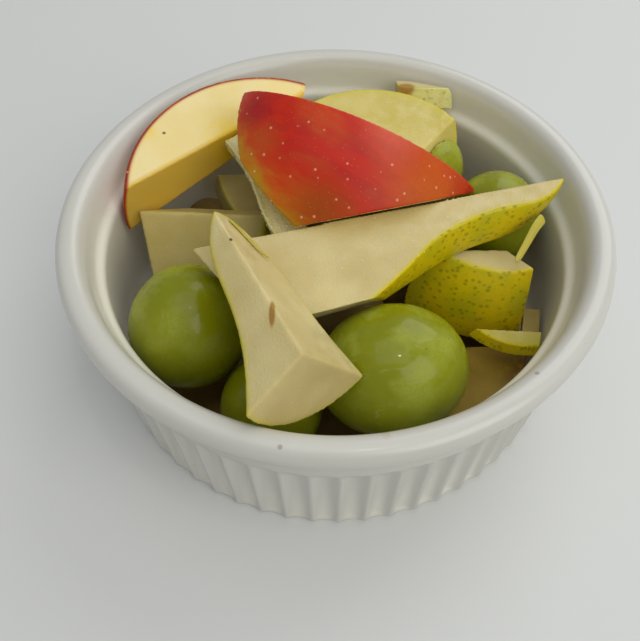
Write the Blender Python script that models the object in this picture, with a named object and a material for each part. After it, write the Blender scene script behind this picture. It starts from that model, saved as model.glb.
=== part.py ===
"""Fruit salad in a white fluted ramekin: pear, apple and grape pieces heaped in the bowl.

Everything is in metres with +Z up.  The origin is the centre of the bowl's underside, and the
viewer looks along +Y.  A fruit is a closed formula (a pear profile, an apple curve, a grape
ellipsoid) that is cut to its piece by knife planes and then laid in the bowl.
"""
import math

import bmesh
import bpy
from mathutils import Matrix, Vector

MM = 0.001

# Ramekin
BASE_RADIUS = 53.2 * MM         # flute crests at the table
FLUTE_TOP_RADIUS = 54.6 * MM    # flute crests where the flutes end
FLUTE_TOP = 27.0 * MM
FLUTE_ARCH = 3.4 * MM           # height of the round arch that closes each flute
FLUTE_DEPTH = 1.15 * MM
FLUTE_FOOT = 1.2 * MM           # over this height the flutes run out into the foot
FLUTE_COUNT = 60
FLUTE_PHASE = math.radians(0.55)
LIP = ((54.0, 29.6), (54.2, 32.6), (55.4, 34.6), (57.1, 35.9), (58.0, 38.6), (57.5, 40.7),
       (56.2, 41.5), (54.6, 41.5), (53.1, 40.6), (52.1, 38.6), (51.6, 35.4), (50.9, 33.6),
       (50.0, 32.6), (49.6, 31.6))              # radius, height (mm): cove, rolled lip, inner step
CAVITY = ((49.5, 11.0), (48.6, 7.6), (46.6, 5.4), (43.5, 4.6))       # inner wall down to the floor
FOOT_RADIUS = 47.0 * MM         # inner edge of the foot ring
FOOT_RECESS = 1.2 * MM

# Fruit
PEAR_LENGTH = 84.0 * MM
SMALL_PEAR = 73.0 * MM
BROAD_PEAR = 100.0 * MM
PEAR_SHAPE = (0.74, 1.03, 0.79, 0.31, 0.10, 0.45, 0.40)   # Bernstein weights, calyx to stem
NECK_SAG = 6.8 * MM             # how far the long wedge's neck bends below its cut face
PEAR_CORE = 5.0 * MM            # distance of the coring cut from the pear's axis
BIG_APPLE = 36.0 * MM           # equator radius
MIDDLE_APPLE = 31.4 * MM
SMALL_APPLE = 29.5 * MM


def clear_scene():
    for ob in list(bpy.data.objects):
        bpy.data.objects.remove(ob, do_unlink=True)


def material(name, color, roughness, coat=0.0, subsurface=0.0):
    mat = bpy.data.materials.new(name)
    mat.use_nodes = True
    bsdf = mat.node_tree.nodes["Principled BSDF"]
    bsdf.inputs["Base Color"].default_value = (*color, 1.0)
    bsdf.inputs["Roughness"].default_value = roughness
    bsdf.inputs["Coat Weight"].default_value = coat
    bsdf.inputs["Subsurface Weight"].default_value = subsurface
    mat.diffuse_color = (*color, 1.0)
    return mat


def to_object(bm, name, mat):
    bmesh.ops.remove_doubles(bm, verts=bm.verts, dist=0.02 * MM)
    bmesh.ops.dissolve_degenerate(bm, dist=0.02 * MM, edges=bm.edges)
    bmesh.ops.triangulate(bm, faces=bm.faces)
    bmesh.ops.recalc_face_normals(bm, faces=bm.faces)
    mesh = bpy.data.meshes.new(name)
    bm.to_mesh(mesh)
    bm.free()
    mesh.materials.append(mat)
    ob = bpy.data.objects.new(name, mesh)
    bpy.context.collection.objects.link(ob)
    return ob


def revolve(profile, around):
    """Closed solid from (radius, height) points; the first and last lie on the axis."""
    bm = bmesh.new()
    first = bm.verts.new((0.0, 0.0, profile[0][1]))
    last = bm.verts.new((0.0, 0.0, profile[-1][1]))
    rings = []
    for radius, height in profile[1:-1]:
        ring = []
        for i in range(around):
            a = 2.0 * math.pi * i / around
            ring.append(bm.verts.new((radius * math.cos(a), radius * math.sin(a), height)))
        rings.append(ring)
    for i in range(around):
        j = (i + 1) % around
        bm.faces.new((first, rings[0][j], rings[0][i]))
        for low, high in zip(rings, rings[1:]):
            bm.faces.new((low[i], low[j], high[j], high[i]))
        bm.faces.new((last, rings[-1][i], rings[-1][j]))
    return bm


def pear_radius(z, length=PEAR_LENGTH):
    """Radius of the pear at height z above its calyx end."""
    t = min(max(z / length, 0.0), 1.0)
    n = len(PEAR_SHAPE) - 1
    shape = sum(w * math.comb(n, k) * t ** k * (1.0 - t) ** (n - k)
                for k, w in enumerate(PEAR_SHAPE))
    return length * math.sqrt(t * (1.0 - t)) * shape


def pear(length=PEAR_LENGTH, along=32, around=56):
    points = []
    for i in range(along + 1):
        t = 0.5 - 0.5 * math.cos(math.pi * i / along)
        points.append((pear_radius(t * length, length), t * length))
    return revolve(points, around)


def apple(radius, along=36, around=60):
    """Apple centred on its equator, with a deep stem dimple above and a calyx dimple below."""
    points = []
    for i in range(along + 1):
        a = math.pi * i / along
        stem = 0.28 * math.exp(-(a / 0.38) ** 2)
        calyx = 0.16 * math.exp(-((math.pi - a) / 0.34) ** 2)
        r = radius * (1.0 - stem - calyx) * (1.0 + 0.04 * math.cos(a))
        points.append((r * math.sin(a), r * math.cos(a)))
    return revolve(points[::-1], around)


def grape(half_length, half_width, along=12, around=22):
    """Ellipsoid along Z."""
    points = []
    for i in range(along + 1):
        a = math.pi * i / along
        points.append((half_width * math.sin(a), -half_length * math.cos(a)))
    return revolve(points, around)


def slice_off(bm, point, normal):
    """Cuts by a plane, drops the side that the normal points to and closes the cut."""
    geometry = list(bm.verts) + list(bm.edges) + list(bm.faces)
    cut = bmesh.ops.bisect_plane(bm, geom=geometry, dist=0.001 * MM, plane_co=Vector(point),
                                 plane_no=Vector(normal).normalized(), clear_outer=True)
    rim = [e for e in cut["geom_cut"] if isinstance(e, bmesh.types.BMEdge) and e.is_boundary]
    if rim:
        bmesh.ops.holes_fill(bm, edges=rim, sides=0)


def frame(at, stem, skin):
    """Matrix of a piece: fruit Z along the stem direction, fruit X towards the skin direction."""
    z = Vector(stem).normalized()
    x = Vector(skin)
    x = (x - z * x.dot(z)).normalized()
    y = z.cross(x)
    rot = Matrix((x, y, z)).transposed().to_4x4()
    return Matrix.Translation(Vector(at) * MM) @ rot


def lay(bm, at, stem, skin):
    bm.transform(frame(at, stem, skin))


def wedge_cuts(bm, apex, half_angle):
    """Two lengthwise cuts that meet in a ridge over the point apex and open towards +X."""
    s, c = math.sin(half_angle), math.cos(half_angle)
    slice_off(bm, (apex[0] * MM, apex[1] * MM, 0.0), (-s, c, 0.0))
    slice_off(bm, (apex[0] * MM, apex[1] * MM, 0.0), (-s, -c, 0.0))


def world_cut(bm, point, normal):
    slice_off(bm, Vector(point) * MM, normal)


def plane_through(a, b, c, away_from):
    """Point and normal of the plane through three points; the normal leaves away_from."""
    a, b, c = Vector(a), Vector(b), Vector(c)
    n = (b - a).cross(c - a).normalized()
    if n.dot(Vector(away_from) - a) > 0.0:
        n = -n
    return a, n


def flute(u, z):
    """Depth of the flutes at fraction u of one pitch; each closes in a round arch at the top."""
    across = 1.0 - (2.0 * u - 1.0) ** 2
    if z >= FLUTE_TOP:
        return 0.0
    arch = min(1.0, (FLUTE_TOP - z) / FLUTE_ARCH)
    reach = math.sqrt(1.0 - (1.0 - arch) ** 2)
    foot = 0.25 + 0.75 * min(1.0, z / FLUTE_FOOT)
    return FLUTE_DEPTH * across * foot * min(1.0, reach * (math.sqrt(across) + 0.15))


def build_bowl(mat):
    fine, coarse = 4 * FLUTE_COUNT, 2 * FLUTE_COUNT
    bm = bmesh.new()

    def ring(count, radius, z, fluted=False):
        verts = []
        for i in range(count):
            a = 2.0 * math.pi * i / count + FLUTE_PHASE - math.pi / 2.0
            r = radius
            if fluted:
                r -= flute((i % 4) / 4.0, z)
            verts.append(bm.verts.new((r * math.cos(a), r * math.sin(a), z)))
        return verts

    def crest(z):
        return BASE_RADIUS + (FLUTE_TOP_RADIUS - BASE_RADIUS) * z / FLUTE_TOP

    def band(low, high):
        n, m = len(low), len(high)
        if n == m:
            for i in range(n):
                j = (i + 1) % n
                bm.faces.new((low[i], low[j], high[j], high[i]))
            return
        if n > m:                       # two fine steps to one coarse step
            for i in range(m):
                j = (i + 1) % m
                a, b, c = low[2 * i], low[2 * i + 1], low[(2 * i + 2) % n]
                bm.faces.new((a, b, high[i]))
                bm.faces.new((b, high[j], high[i]))
                bm.faces.new((b, c, high[j]))
            return
        for i in range(n):
            j = (i + 1) % n
            a, b, c = high[2 * i], high[2 * i + 1], high[(2 * i + 2) % m]
            bm.faces.new((low[i], b, a))
            bm.faces.new((low[i], low[j], b))
            bm.faces.new((low[j], c, b))

    under = [(FOOT_RADIUS - 1.2 * MM, FOOT_RECESS), (FOOT_RADIUS, 0.0)]
    walls = [0.0, 1.2, 22.8, 24.8, 26.2, 27.0]
    rings = [ring(coarse, r, z) for r, z in under]
    rings += [ring(fine, crest(z * MM), z * MM, True) for z in walls]
    rings += [ring(coarse, r * MM, z * MM) for r, z in LIP]
    rings += [ring(FLUTE_COUNT, r * MM, z * MM) for r, z in CAVITY]
    for low, high in zip(rings, rings[1:]):
        band(low, high)
    for rim in (rings[0], rings[-1]):
        z = rim[0].co.z
        hub = bm.verts.new((0.0, 0.0, z))
        for i in range(len(rim)):
            bm.faces.new((rim[i], rim[(i + 1) % len(rim)], hub))
    return to_object(bm, "bowl", mat)


def smooth_rise(x):
    """0 below 0, 1 above 1, smooth between."""
    x = min(max(x, 0.0), 1.0)
    return x * x * (3.0 - 2.0 * x)


def neck_sag(z):
    """How far the long wedge's pear is bent down at height z above its calyx end."""
    down, back = smooth_rise((z / MM - 34.0) / 16.0), smooth_rise((z / MM - 64.0) / 18.0)
    return NECK_SAG * down * (1.0 - 0.75 * back)


def build_pear_long(mat):
    """Long lengthwise wedge with its cut face up and its stem end on the lip."""
    bm = pear(along=38)
    for vert in bm.verts:
        vert.co.y += neck_sag(vert.co.z)
    angle = math.radians(56.0)
    slice_off(bm, (0.0, 0.0, 0.0), (0.0, -1.0, 0.0))
    slice_off(bm, (0.0, 8.6 * MM, 0.0), (0.0, 1.0, 0.0))
    slice_off(bm, (PEAR_CORE, 0.0, 0.0), (-math.sin(angle), math.cos(angle), 0.0))
    lay(bm, (-30.8, -6.9, 41.1), (0.970, 0.242, 0.009), (0.241, -0.962, -0.128))
    world_cut(bm, (-28.0, -12.3, 40.0), (-0.72, -0.55, -0.42))
    world_cut(bm, (-21.6, -14.2, 33.4), (-0.68, -0.33, -0.65))
    world_cut(bm, (7.8, -18.6, 32.2), (0.26, -0.83, -0.5))
    return to_object(bm, "pear_long", mat)


def build_pear_front(mat):
    """Stem half of a quarter pear, ridge up, cut across at its thick end."""
    bm = pear(along=44)
    wedge_cuts(bm, (1.1, 6.0), 0.86)
    slice_off(bm, (0.0, 0.0, 45.75 * MM), (-0.15, -0.13, -1.0))
    lay(bm, (20.6, -80.75, 51.4), (-0.472, 0.882, 0.006), (-0.197, -0.099, -0.975))
    return to_object(bm, "pear_front", mat)


def build_apple_left(mat):
    """Slab across a small apple, with one lengthwise cut facing the middle of the bowl."""
    bm = apple(MIDDLE_APPLE)
    slice_off(bm, (0.0, 0.0, 12.75 * MM), (0.0, 0.0, 1.0))
    slice_off(bm, (14.0 * MM, 0.0, 4.7 * MM), (0.45, -0.142, -1.0))
    slice_off(bm, (14.0 * MM, 0.0, 12.75 * MM), (-1.0, 0.0, 0.1))
    lay(bm, (-17.04, 13.64, 26.65), (0.018, -0.192, 0.981), (-0.582, 0.796, 0.166))
    for turn, lean in ((134.0, 0.5), (148.0, 0.5), (162.0, 0.2)):    # where it leans on the rim
        out = Vector((math.cos(math.radians(turn)), math.sin(math.radians(turn)), 0.0))
        world_cut(bm, (49.1 * out.x, 49.1 * out.y, 33.5), (out.x, out.y, -lean))
    world_cut(bm, (-6.3, 40.0, 44.0), (0.96, 0.0, -0.5))
    return to_object(bm, "apple_left", mat)


LEFT_FRONT = (Vector((-24.96, 22.33, 41.48)), Vector((0.581, -0.811, -0.068)))
RED_TOP, RED_LEFT, RED_LOW = (-19.9, 26.6, 50.0), (-18.9, 8.6, 46.0), (-7.2, -4.2, 40.0)
RED_TIP, RED_RIDGE = (32.2, 9.1, 37.5), (1.0, 33.5, 24.0)
RED_INSIDE = (5.0, 12.0, 38.0)


def build_apple_red(mat):
    """Apple wedge with its skin up; the hidden side is cut to a ridge that ends at the right tip."""
    bm = apple(BIG_APPLE)
    lay(bm, (2.2, 22.1, 21.5), (-0.85, 0.40, 0.33), (0.0, -0.5, 0.87))
    for corner_a, corner_b in ((RED_TIP, RED_TOP), (RED_TOP, RED_LEFT), (RED_LEFT, RED_LOW)):
        world_cut(bm, *plane_through(corner_a, corner_b, RED_RIDGE, RED_INSIDE))
    world_cut(bm, *plane_through((-7.5, -5.4, 41.3), (31.0, 4.4, 41.5), (1.0, 24.5, 12.0),
                                 RED_INSIDE))
    world_cut(bm, (31.9, 11.2, 36.2), (0.55, -0.1, -0.83))
    return to_object(bm, "apple_red", mat)


def beside(plane, gap):
    """The same plane seen from its other side, moved off by the gap (mm)."""
    point, normal = plane
    return point + normal * gap, -normal


RED_BACK = plane_through(RED_TIP, RED_TOP, RED_RIDGE, RED_INSIDE)
TOP_FACET = plane_through((28.4, 31.0, 40.0), (22.2, 22.4, 37.0), (25.6, 24.2, 34.0), (0.0, 30.0, 35.0))


def build_pear_top(mat):
    """Round-backed piece across a pear's belly; its front lies along the red wedge."""
    bm = pear(SMALL_PEAR)
    slice_off(bm, (0.0, 0.0, 17.0 * MM), (0.0, 0.0, -1.0))
    lay(bm, (9.3, 15.6, 54.5), (0.0, 0.10, -0.995), (0.2, 0.97, 0.15))
    world_cut(bm, *beside(RED_BACK, 0.5))
    world_cut(bm, *TOP_FACET)
    world_cut(bm, (-8.4, 35.0, 35.0), (-1.0, 0.1, 0.0))
    world_cut(bm, (0.0, 0.0, 24.0), (0.0, 0.2, -1.0))
    return to_object(bm, "pear_top", mat)


def build_pear_calyx(mat):
    """Small slab from a pear's calyx end that stands between the top pear and the wall."""
    bm = pear(along=60)
    slice_off(bm, (0.0, 0.0, 4.5 * MM), (0.0, 0.0, 1.0))
    lay(bm, (20.6, 41.5, 39.0), (0.22, 0.86, -0.47), (1.0, -0.2, 0.0))
    world_cut(bm, (16.8, 40.0, 42.0), (-1.0, -0.1, 0.0))
    world_cut(bm, (28.6, 36.0, 42.0), (1.0, -0.1, 0.15))
    world_cut(bm, (20.0, 40.0, 40.6), (0.0, 0.3, 1.0))
    world_cut(bm, (25.2, 43.7, 40.0), (0.5, 0.866, 0.0))
    world_cut(bm, (20.0, 40.0, 35.5), (0.0, 0.0, -1.0))
    return to_object(bm, "pear_calyx", mat)


def build_pear_block(mat):
    """Thick slab from a pear's side, skin to the front."""
    bm = pear(BROAD_PEAR)
    lay(bm, (62.0, 16.8, 11.9), (-0.99, 0.05, 0.0), (0.0, -0.92, 0.39))
    world_cut(bm, (30.0, -8.0, 31.1), (0.06, 0.10, 1.0))
    world_cut(bm, (42.3, -12.0, 24.0), (0.98, -0.2, 0.02))
    world_cut(bm, (30.0, -10.0, 13.8), (0.0, 0.0, -1.0))
    world_cut(bm, (33.7, -2.3, 33.0), (-0.05, 0.92, -0.2))
    world_cut(bm, (38.5, -3.2, 31.4), (0.74, 0.67, 0.0))
    world_cut(bm, (11.0, -12.0, 24.0), (-1.0, 0.0, 0.35))
    return to_object(bm, "pear_block", mat)


def build_pear_sliver(mat):
    """Thin slice across a pear's neck, of which the skin side is left."""
    bm = pear()
    slice_off(bm, (0.0, 0.0, 47.3 * MM), (0.0, 0.0, 1.0))
    slice_off(bm, (0.0, 0.0, 44.9 * MM), (0.0, 0.0, -1.0))
    lay(bm, (36.6, 2.6, -22.4), (0.1, -0.18, 0.98), (0.0, -1.0, 0.0))
    world_cut(bm, (37.0, -18.6, 20.0), (0.0, 1.0, 0.0))
    world_cut(bm, (44.9, -19.0, 20.0), (1.0, -0.3, 0.0))
    world_cut(bm, (28.0, -19.0, 20.0), (-1.0, -0.3, 0.0))
    return to_object(bm, "pear_sliver", mat)


def build_apple_chunk(mat):
    """Peeled-looking flesh face of an apple chunk that leans on the wall."""
    bm = apple(SMALL_APPLE)
    lay(bm, (15.6, -10.7, 8.0), (0.1, 0.1, 1.0), (1.0, -0.4, 0.0))
    world_cut(bm, (36.0, -26.0, 14.0), (-0.06, -0.05, 1.0))
    world_cut(bm, (36.0, -26.0, 9.4), (0.0, 0.0, -1.0))
    world_cut(bm, (22.5, -30.0, 12.0), (-1.0, 0.0, 0.2))
    world_cut(bm, (36.0, -17.5, 12.0), (0.0, 1.0, 0.0))
    return to_object(bm, "apple_chunk", mat)


def build_pear_midleft(mat):
    """Sector across a pear, its large cut face to the viewer and its skin to the right."""
    bm = pear()
    slice_off(bm, (0.0, 0.0, 12.0 * MM), (0.0, 0.0, -1.0))
    slice_off(bm, (0.0, 0.0, 21.0 * MM), (0.0, 0.0, 1.0))
    lay(bm, (-39.2, -0.1, 41.4), (-0.07, 0.715, -0.70), (1.0, 0.0, 0.0))
    world_cut(bm, (-41.0, 6.9, 32.8), (0.05, 0.62, 0.78))
    world_cut(bm, *plane_through((-44.0, 6.0, 32.0), (-41.8, -2.6, 22.0), (-42.5, 10.0, 20.0), (0, 0, 30)))
    world_cut(bm, (-35.0, -3.0, 21.0), (0.0, -0.3, -1.0))
    world_cut(bm, *beside(LEFT_FRONT, 0.5))
    return to_object(bm, "pear_midleft", mat)


def build_pear_behind(mat):
    """Thin slice seen in the gap below the left apple."""
    bm = pear()
    slice_off(bm, (0.0, 0.0, 30.0 * MM), (0.0, 0.0, 1.0))
    slice_off(bm, (0.0, 0.0, 26.0 * MM), (0.0, 0.0, -1.0))
    lay(bm, (-3.0, 40.0, -0.5), (0.0, -0.3, 0.95), (-0.86, -0.5, 0.0))
    world_cut(bm, (-18.0, 20.0, 27.0), (1.0, 0.1, 0.0))
    world_cut(bm, (-22.0, 13.0, 27.0), (0.0, -1.0, 0.0))
    world_cut(bm, (-22.0, 26.0, 27.0), (0.0, 1.0, 0.0))
    return to_object(bm, "pear_behind", mat)


def build_pear_strip(mat):
    """Lengthwise slice under the red wedge; only its skin edge shows."""
    bm = pear()
    slice_off(bm, (0.0, 0.0, 0.0), (0.0, -1.0, 0.0))
    slice_off(bm, (0.0, 3.5 * MM, 0.0), (0.0, 1.0, 0.0))
    lay(bm, (-17.4, 71.1, 45.4), (0.188, -0.977, -0.1), (-0.977, -0.188, 0.0))
    world_cut(bm, *beside(plane_through(RED_LEFT, RED_LOW, RED_RIDGE, RED_INSIDE), 0.4))
    world_cut(bm, *beside(LEFT_FRONT, 0.5))
    world_cut(bm, (-14.0, -5.5, 40.0), (0.2, -0.95, 0.3))
    world_cut(bm, (-6.0, 0.0, 40.0), (1.0, 0.0, 0.0))
    return to_object(bm, "pear_strip", mat)


def build_pear_bit(mat):
    """Small offcut between the block and the wall."""
    bm = pear()
    lay(bm, (62.0, 9.7, 12.0), (-0.99, 0.0, 0.1), (0.0, -1.0, 0.1))
    world_cut(bm, (42.9, -12.0, 18.0), (-1.0, 0.2, 0.0))
    world_cut(bm, (46.9, -12.0, 18.0), (1.0, -0.2, 0.0))
    world_cut(bm, (45.0, -9.6, 18.0), (0.0, 1.0, 0.2))
    world_cut(bm, (45.0, -12.0, 17.2), (0.2, -0.2, 1.0))
    world_cut(bm, (45.0, -12.0, 15.3), (0.0, 0.0, -1.0))
    return to_object(bm, "pear_bit", mat)


def build_grape(name, mat, at, half_length, half_width, axis, cuts=()):
    bm = grape(half_length * MM, half_width * MM)
    lay(bm, at, axis, (axis[1], -axis[0], 0.01))
    for plane in cuts:
        world_cut(bm, *plane)
    return to_object(bm, name, mat)


def build_strand(name, mat, points, width, thick):
    """Flat strip of peel along a bent line; it narrows to its free end."""
    bm = bmesh.new()
    sections = []
    for i, point in enumerate(points):
        here = Vector(point) * MM
        ahead = Vector(points[min(i + 1, len(points) - 1)]) * MM
        behind = Vector(points[max(i - 1, 0)]) * MM
        along = (ahead - behind).normalized()
        across = along.cross(Vector((0.3, -0.6, 0.75))).normalized()
        up = across.cross(along)
        w = 0.5 * width * MM * (1.0 - 0.45 * i / (len(points) - 1))
        t = 0.5 * thick * MM
        corners = ((-w, -0.3 * t), (0.0, -t), (w, -0.3 * t), (w, 0.3 * t), (0.0, t), (-w, 0.3 * t))
        sections.append([bm.verts.new(here + across * a + up * b) for a, b in corners])
    for low, high in zip(sections, sections[1:]):
        for i in range(6):
            j = (i + 1) % 6
            bm.faces.new((low[i], low[j], high[j], high[i]))
    bm.faces.new(sections[0][::-1])
    bm.faces.new(sections[-1])
    return to_object(bm, name, mat)


BED_LUMPS = (                    # x, y, centre height, radius (mm) of the pieces in the hidden heap
    (3.0, -8.0, 11.0, 10.0), (-14.0, 3.0, 8.0, 9.0), (1.0, 11.0, 5.0, 9.0), (20.0, 4.0, 8.5, 9.5),
    (-33.0, 24.0, 8.0, 9.5), (12.0, 39.0, 6.0, 7.0), (30.0, 27.0, 7.0, 9.0), (-10.0, 36.0, 6.0, 9.0),
    (-37.0, 6.0, 6.0, 9.0), (18.0, -10.0, 5.0, 8.0), (2.0, -21.0, 6.0, 7.0), (36.0, -5.0, 4.0, 8.0),
)


def bed_height(x, y):
    top = 5.6
    for cx, cy, cz, r in BED_LUMPS:
        d2 = (x - cx) ** 2 + (y - cy) ** 2
        if d2 < r * r:
            top = max(top, cz + math.sqrt(r * r - d2) * 0.92)
    return top


def build_bed(mat):
    """Hidden lower fruit as one heap: rounded pieces fused onto a flat core."""
    around, rings, radius, low = 44, 12, 45.5, 5.0
    bm = bmesh.new()
    center = bm.verts.new((0.0, 0.0, bed_height(0.0, 0.0) * MM))
    loops = []
    for k in range(1, rings + 1):
        r = radius * k / rings
        loop = []
        for i in range(around):
            a = 2.0 * math.pi * i / around
            x, y = r * math.cos(a), r * math.sin(a)
            z = bed_height(x, y) if k < rings else low + 0.8
            loop.append(bm.verts.new((x * MM, y * MM, z * MM)))
        loops.append(loop)
    foot = [bm.verts.new((v.co.x * 0.955, v.co.y * 0.955, low * MM)) for v in loops[-1]]
    hub = bm.verts.new((0.0, 0.0, low * MM))
    for i in range(around):
        j = (i + 1) % around
        bm.faces.new((center, loops[0][i], loops[0][j]))
        for inner, outer in zip(loops, loops[1:]):
            bm.faces.new((inner[i], outer[i], outer[j], inner[j]))
        bm.faces.new((loops[-1][i], foot[i], foot[j], loops[-1][j]))
        bm.faces.new((foot[i], hub, foot[j]))
    return to_object(bm, "fruit_bed", mat)


def build():
    clear_scene()
    glaze = material("glaze", (0.82, 0.82, 0.80), 0.12, coat=0.5)
    pear_flesh = material("pear", (0.78, 0.69, 0.42), 0.35, subsurface=0.1)
    pear_skin = material("pear_skin", (0.50, 0.48, 0.06), 0.3)
    apple_skin = material("apple_skin", (0.52, 0.05, 0.03), 0.28)
    apple_flesh = material("apple_flesh", (0.83, 0.68, 0.36), 0.4)
    grape_skin = material("grape_skin", (0.26, 0.33, 0.06), 0.22, subsurface=0.1)
    build_bowl(glaze)
    build_bed(pear_flesh)
    build_pear_long(pear_flesh)
    build_pear_front(pear_flesh)
    build_apple_left(apple_flesh)
    build_apple_red(apple_skin)
    build_pear_top(pear_flesh)
    build_pear_calyx(pear_skin)
    build_pear_block(pear_skin)
    build_pear_sliver(pear_flesh)
    build_apple_chunk(apple_flesh)
    build_pear_midleft(pear_flesh)
    build_pear_behind(pear_flesh)
    build_pear_strip(pear_flesh)
    build_pear_bit(pear_flesh)
    build_grape("grape_left", grape_skin, (-31.0, -18.9, 24.3), 13.6, 12.8, (0.2, 0.3, 0.9))
    build_grape("grape_front", grape_skin, (11.4, -30.6, 25.0), 15.4, 13.6, (1.0, 0.1, 0.1))
    build_grape("grape_right", grape_skin, (37.7, 10.1, 27.4), 10.8, 10.2, (0.2, 0.9, 0.3))
    build_grape("grape_deep", grape_skin, (-13.4, -33.9, 16.5), 11.2, 10.8, (0.2, 0.9, 0.3))
    build_grape("grape_back", grape_skin, (24.2, 24.3, 29.6), 9.5, 7.6, (0.1, 0.9, 0.3),
                cuts=(beside(TOP_FACET, 0.5), beside(RED_BACK, 0.5)))
    build_strand("pear_strand", pear_skin,
                 ((45.0, 0.4, 37.0), (44.0, -1.0, 37.6), (42.4, -3.0, 37.2), (41.0, -5.2, 36.0),
                  (39.4, -7.6, 34.9), (37.8, -10.0, 34.2)), 2.6, 0.9)


build()
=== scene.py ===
"""Fruit salad in a white fluted ramekin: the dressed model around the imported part.

Every fruit is a closed formula (a pear profile, an apple curve, a grape ellipsoid).  A piece is cut
from its fruit by knife planes, laid in the bowl, remeshed to an even fine skin, and told for every
vertex where it lies in the fruit and how deep below the skin, so that one finish can paint peel,
the coloured margin below it and flesh.  Lengths in the classes are millimetres.
"""

import logging
import math
from dataclasses import dataclass
from enum import Enum
from typing import Any, Sequence

import bmesh
import bpy
import numpy as np
from mathutils import Matrix, Vector


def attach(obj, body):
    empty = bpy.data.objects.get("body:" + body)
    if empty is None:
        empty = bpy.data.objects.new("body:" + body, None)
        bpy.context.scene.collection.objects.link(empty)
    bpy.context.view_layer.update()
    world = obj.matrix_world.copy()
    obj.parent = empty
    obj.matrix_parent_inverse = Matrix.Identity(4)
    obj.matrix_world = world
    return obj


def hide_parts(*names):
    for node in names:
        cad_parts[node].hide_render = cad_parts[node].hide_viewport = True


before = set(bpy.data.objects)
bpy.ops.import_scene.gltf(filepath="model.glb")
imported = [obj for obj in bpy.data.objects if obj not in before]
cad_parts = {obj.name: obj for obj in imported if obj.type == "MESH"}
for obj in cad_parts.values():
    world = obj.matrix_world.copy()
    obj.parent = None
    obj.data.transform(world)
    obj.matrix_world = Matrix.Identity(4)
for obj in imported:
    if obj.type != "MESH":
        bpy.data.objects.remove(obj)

MM = 0.001
LOG = logging.getLogger("fruit_salad")

Triple = tuple[float, float, float]


class Slot(Enum):
    """Material slots of the record."""

    GLAZE = "glaze"
    PEAR = "pear"
    PEAR_SKIN = "pear_skin"
    APPLE_SKIN = "apple_skin"
    APPLE_FLESH = "apple_flesh"
    GRAPE_SKIN = "grape_skin"


# Shader maths


class Val:
    """One number socket of a shader tree that takes part in Python arithmetic."""

    def __init__(self, tree: "ShaderTree", socket: bpy.types.NodeSocket) -> None:
        """Wraps a socket of that tree."""
        self.tree = tree
        self.socket = socket

    def _math(self, operation: str, *terms: Any) -> "Val":
        """Adds a Math node and returns its result."""
        node = self.tree.node("ShaderNodeMath", {"operation": operation}, dict(enumerate(terms)))
        return Val(self.tree, node.outputs[0])

    def __add__(self, other: Any) -> "Val":
        """self + other."""
        return self._math("ADD", self, other)

    __radd__ = __add__

    def __sub__(self, other: Any) -> "Val":
        """self - other."""
        return self._math("SUBTRACT", self, other)

    def __rsub__(self, other: Any) -> "Val":
        """other - self."""
        return self._math("SUBTRACT", other, self)

    def __mul__(self, other: Any) -> "Val":
        """self * other."""
        return self._math("MULTIPLY", self, other)

    __rmul__ = __mul__

    def clamp(self) -> "Val":
        """The value held between 0 and 1."""
        return self._math("MINIMUM", self._math("MAXIMUM", self, 0.0), 1.0)

    def step(self, low: float, high: float) -> "Val":
        """Smooth rise from 0 at low to 1 at high.

        Args:
            low: value at which the rise starts.
            high: value at which it is complete; below low, the step falls instead.
        Returns:
            The step, from 0 to 1.
        """
        falls = high < low
        node = self.tree.node(
            "ShaderNodeMapRange", {"interpolation_type": "SMOOTHSTEP"},
            {"Value": self, "From Min": min(low, high), "From Max": max(low, high),
             "To Min": 1.0 if falls else 0.0, "To Max": 0.0 if falls else 1.0})
        return Val(self.tree, node.outputs["Result"])


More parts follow.
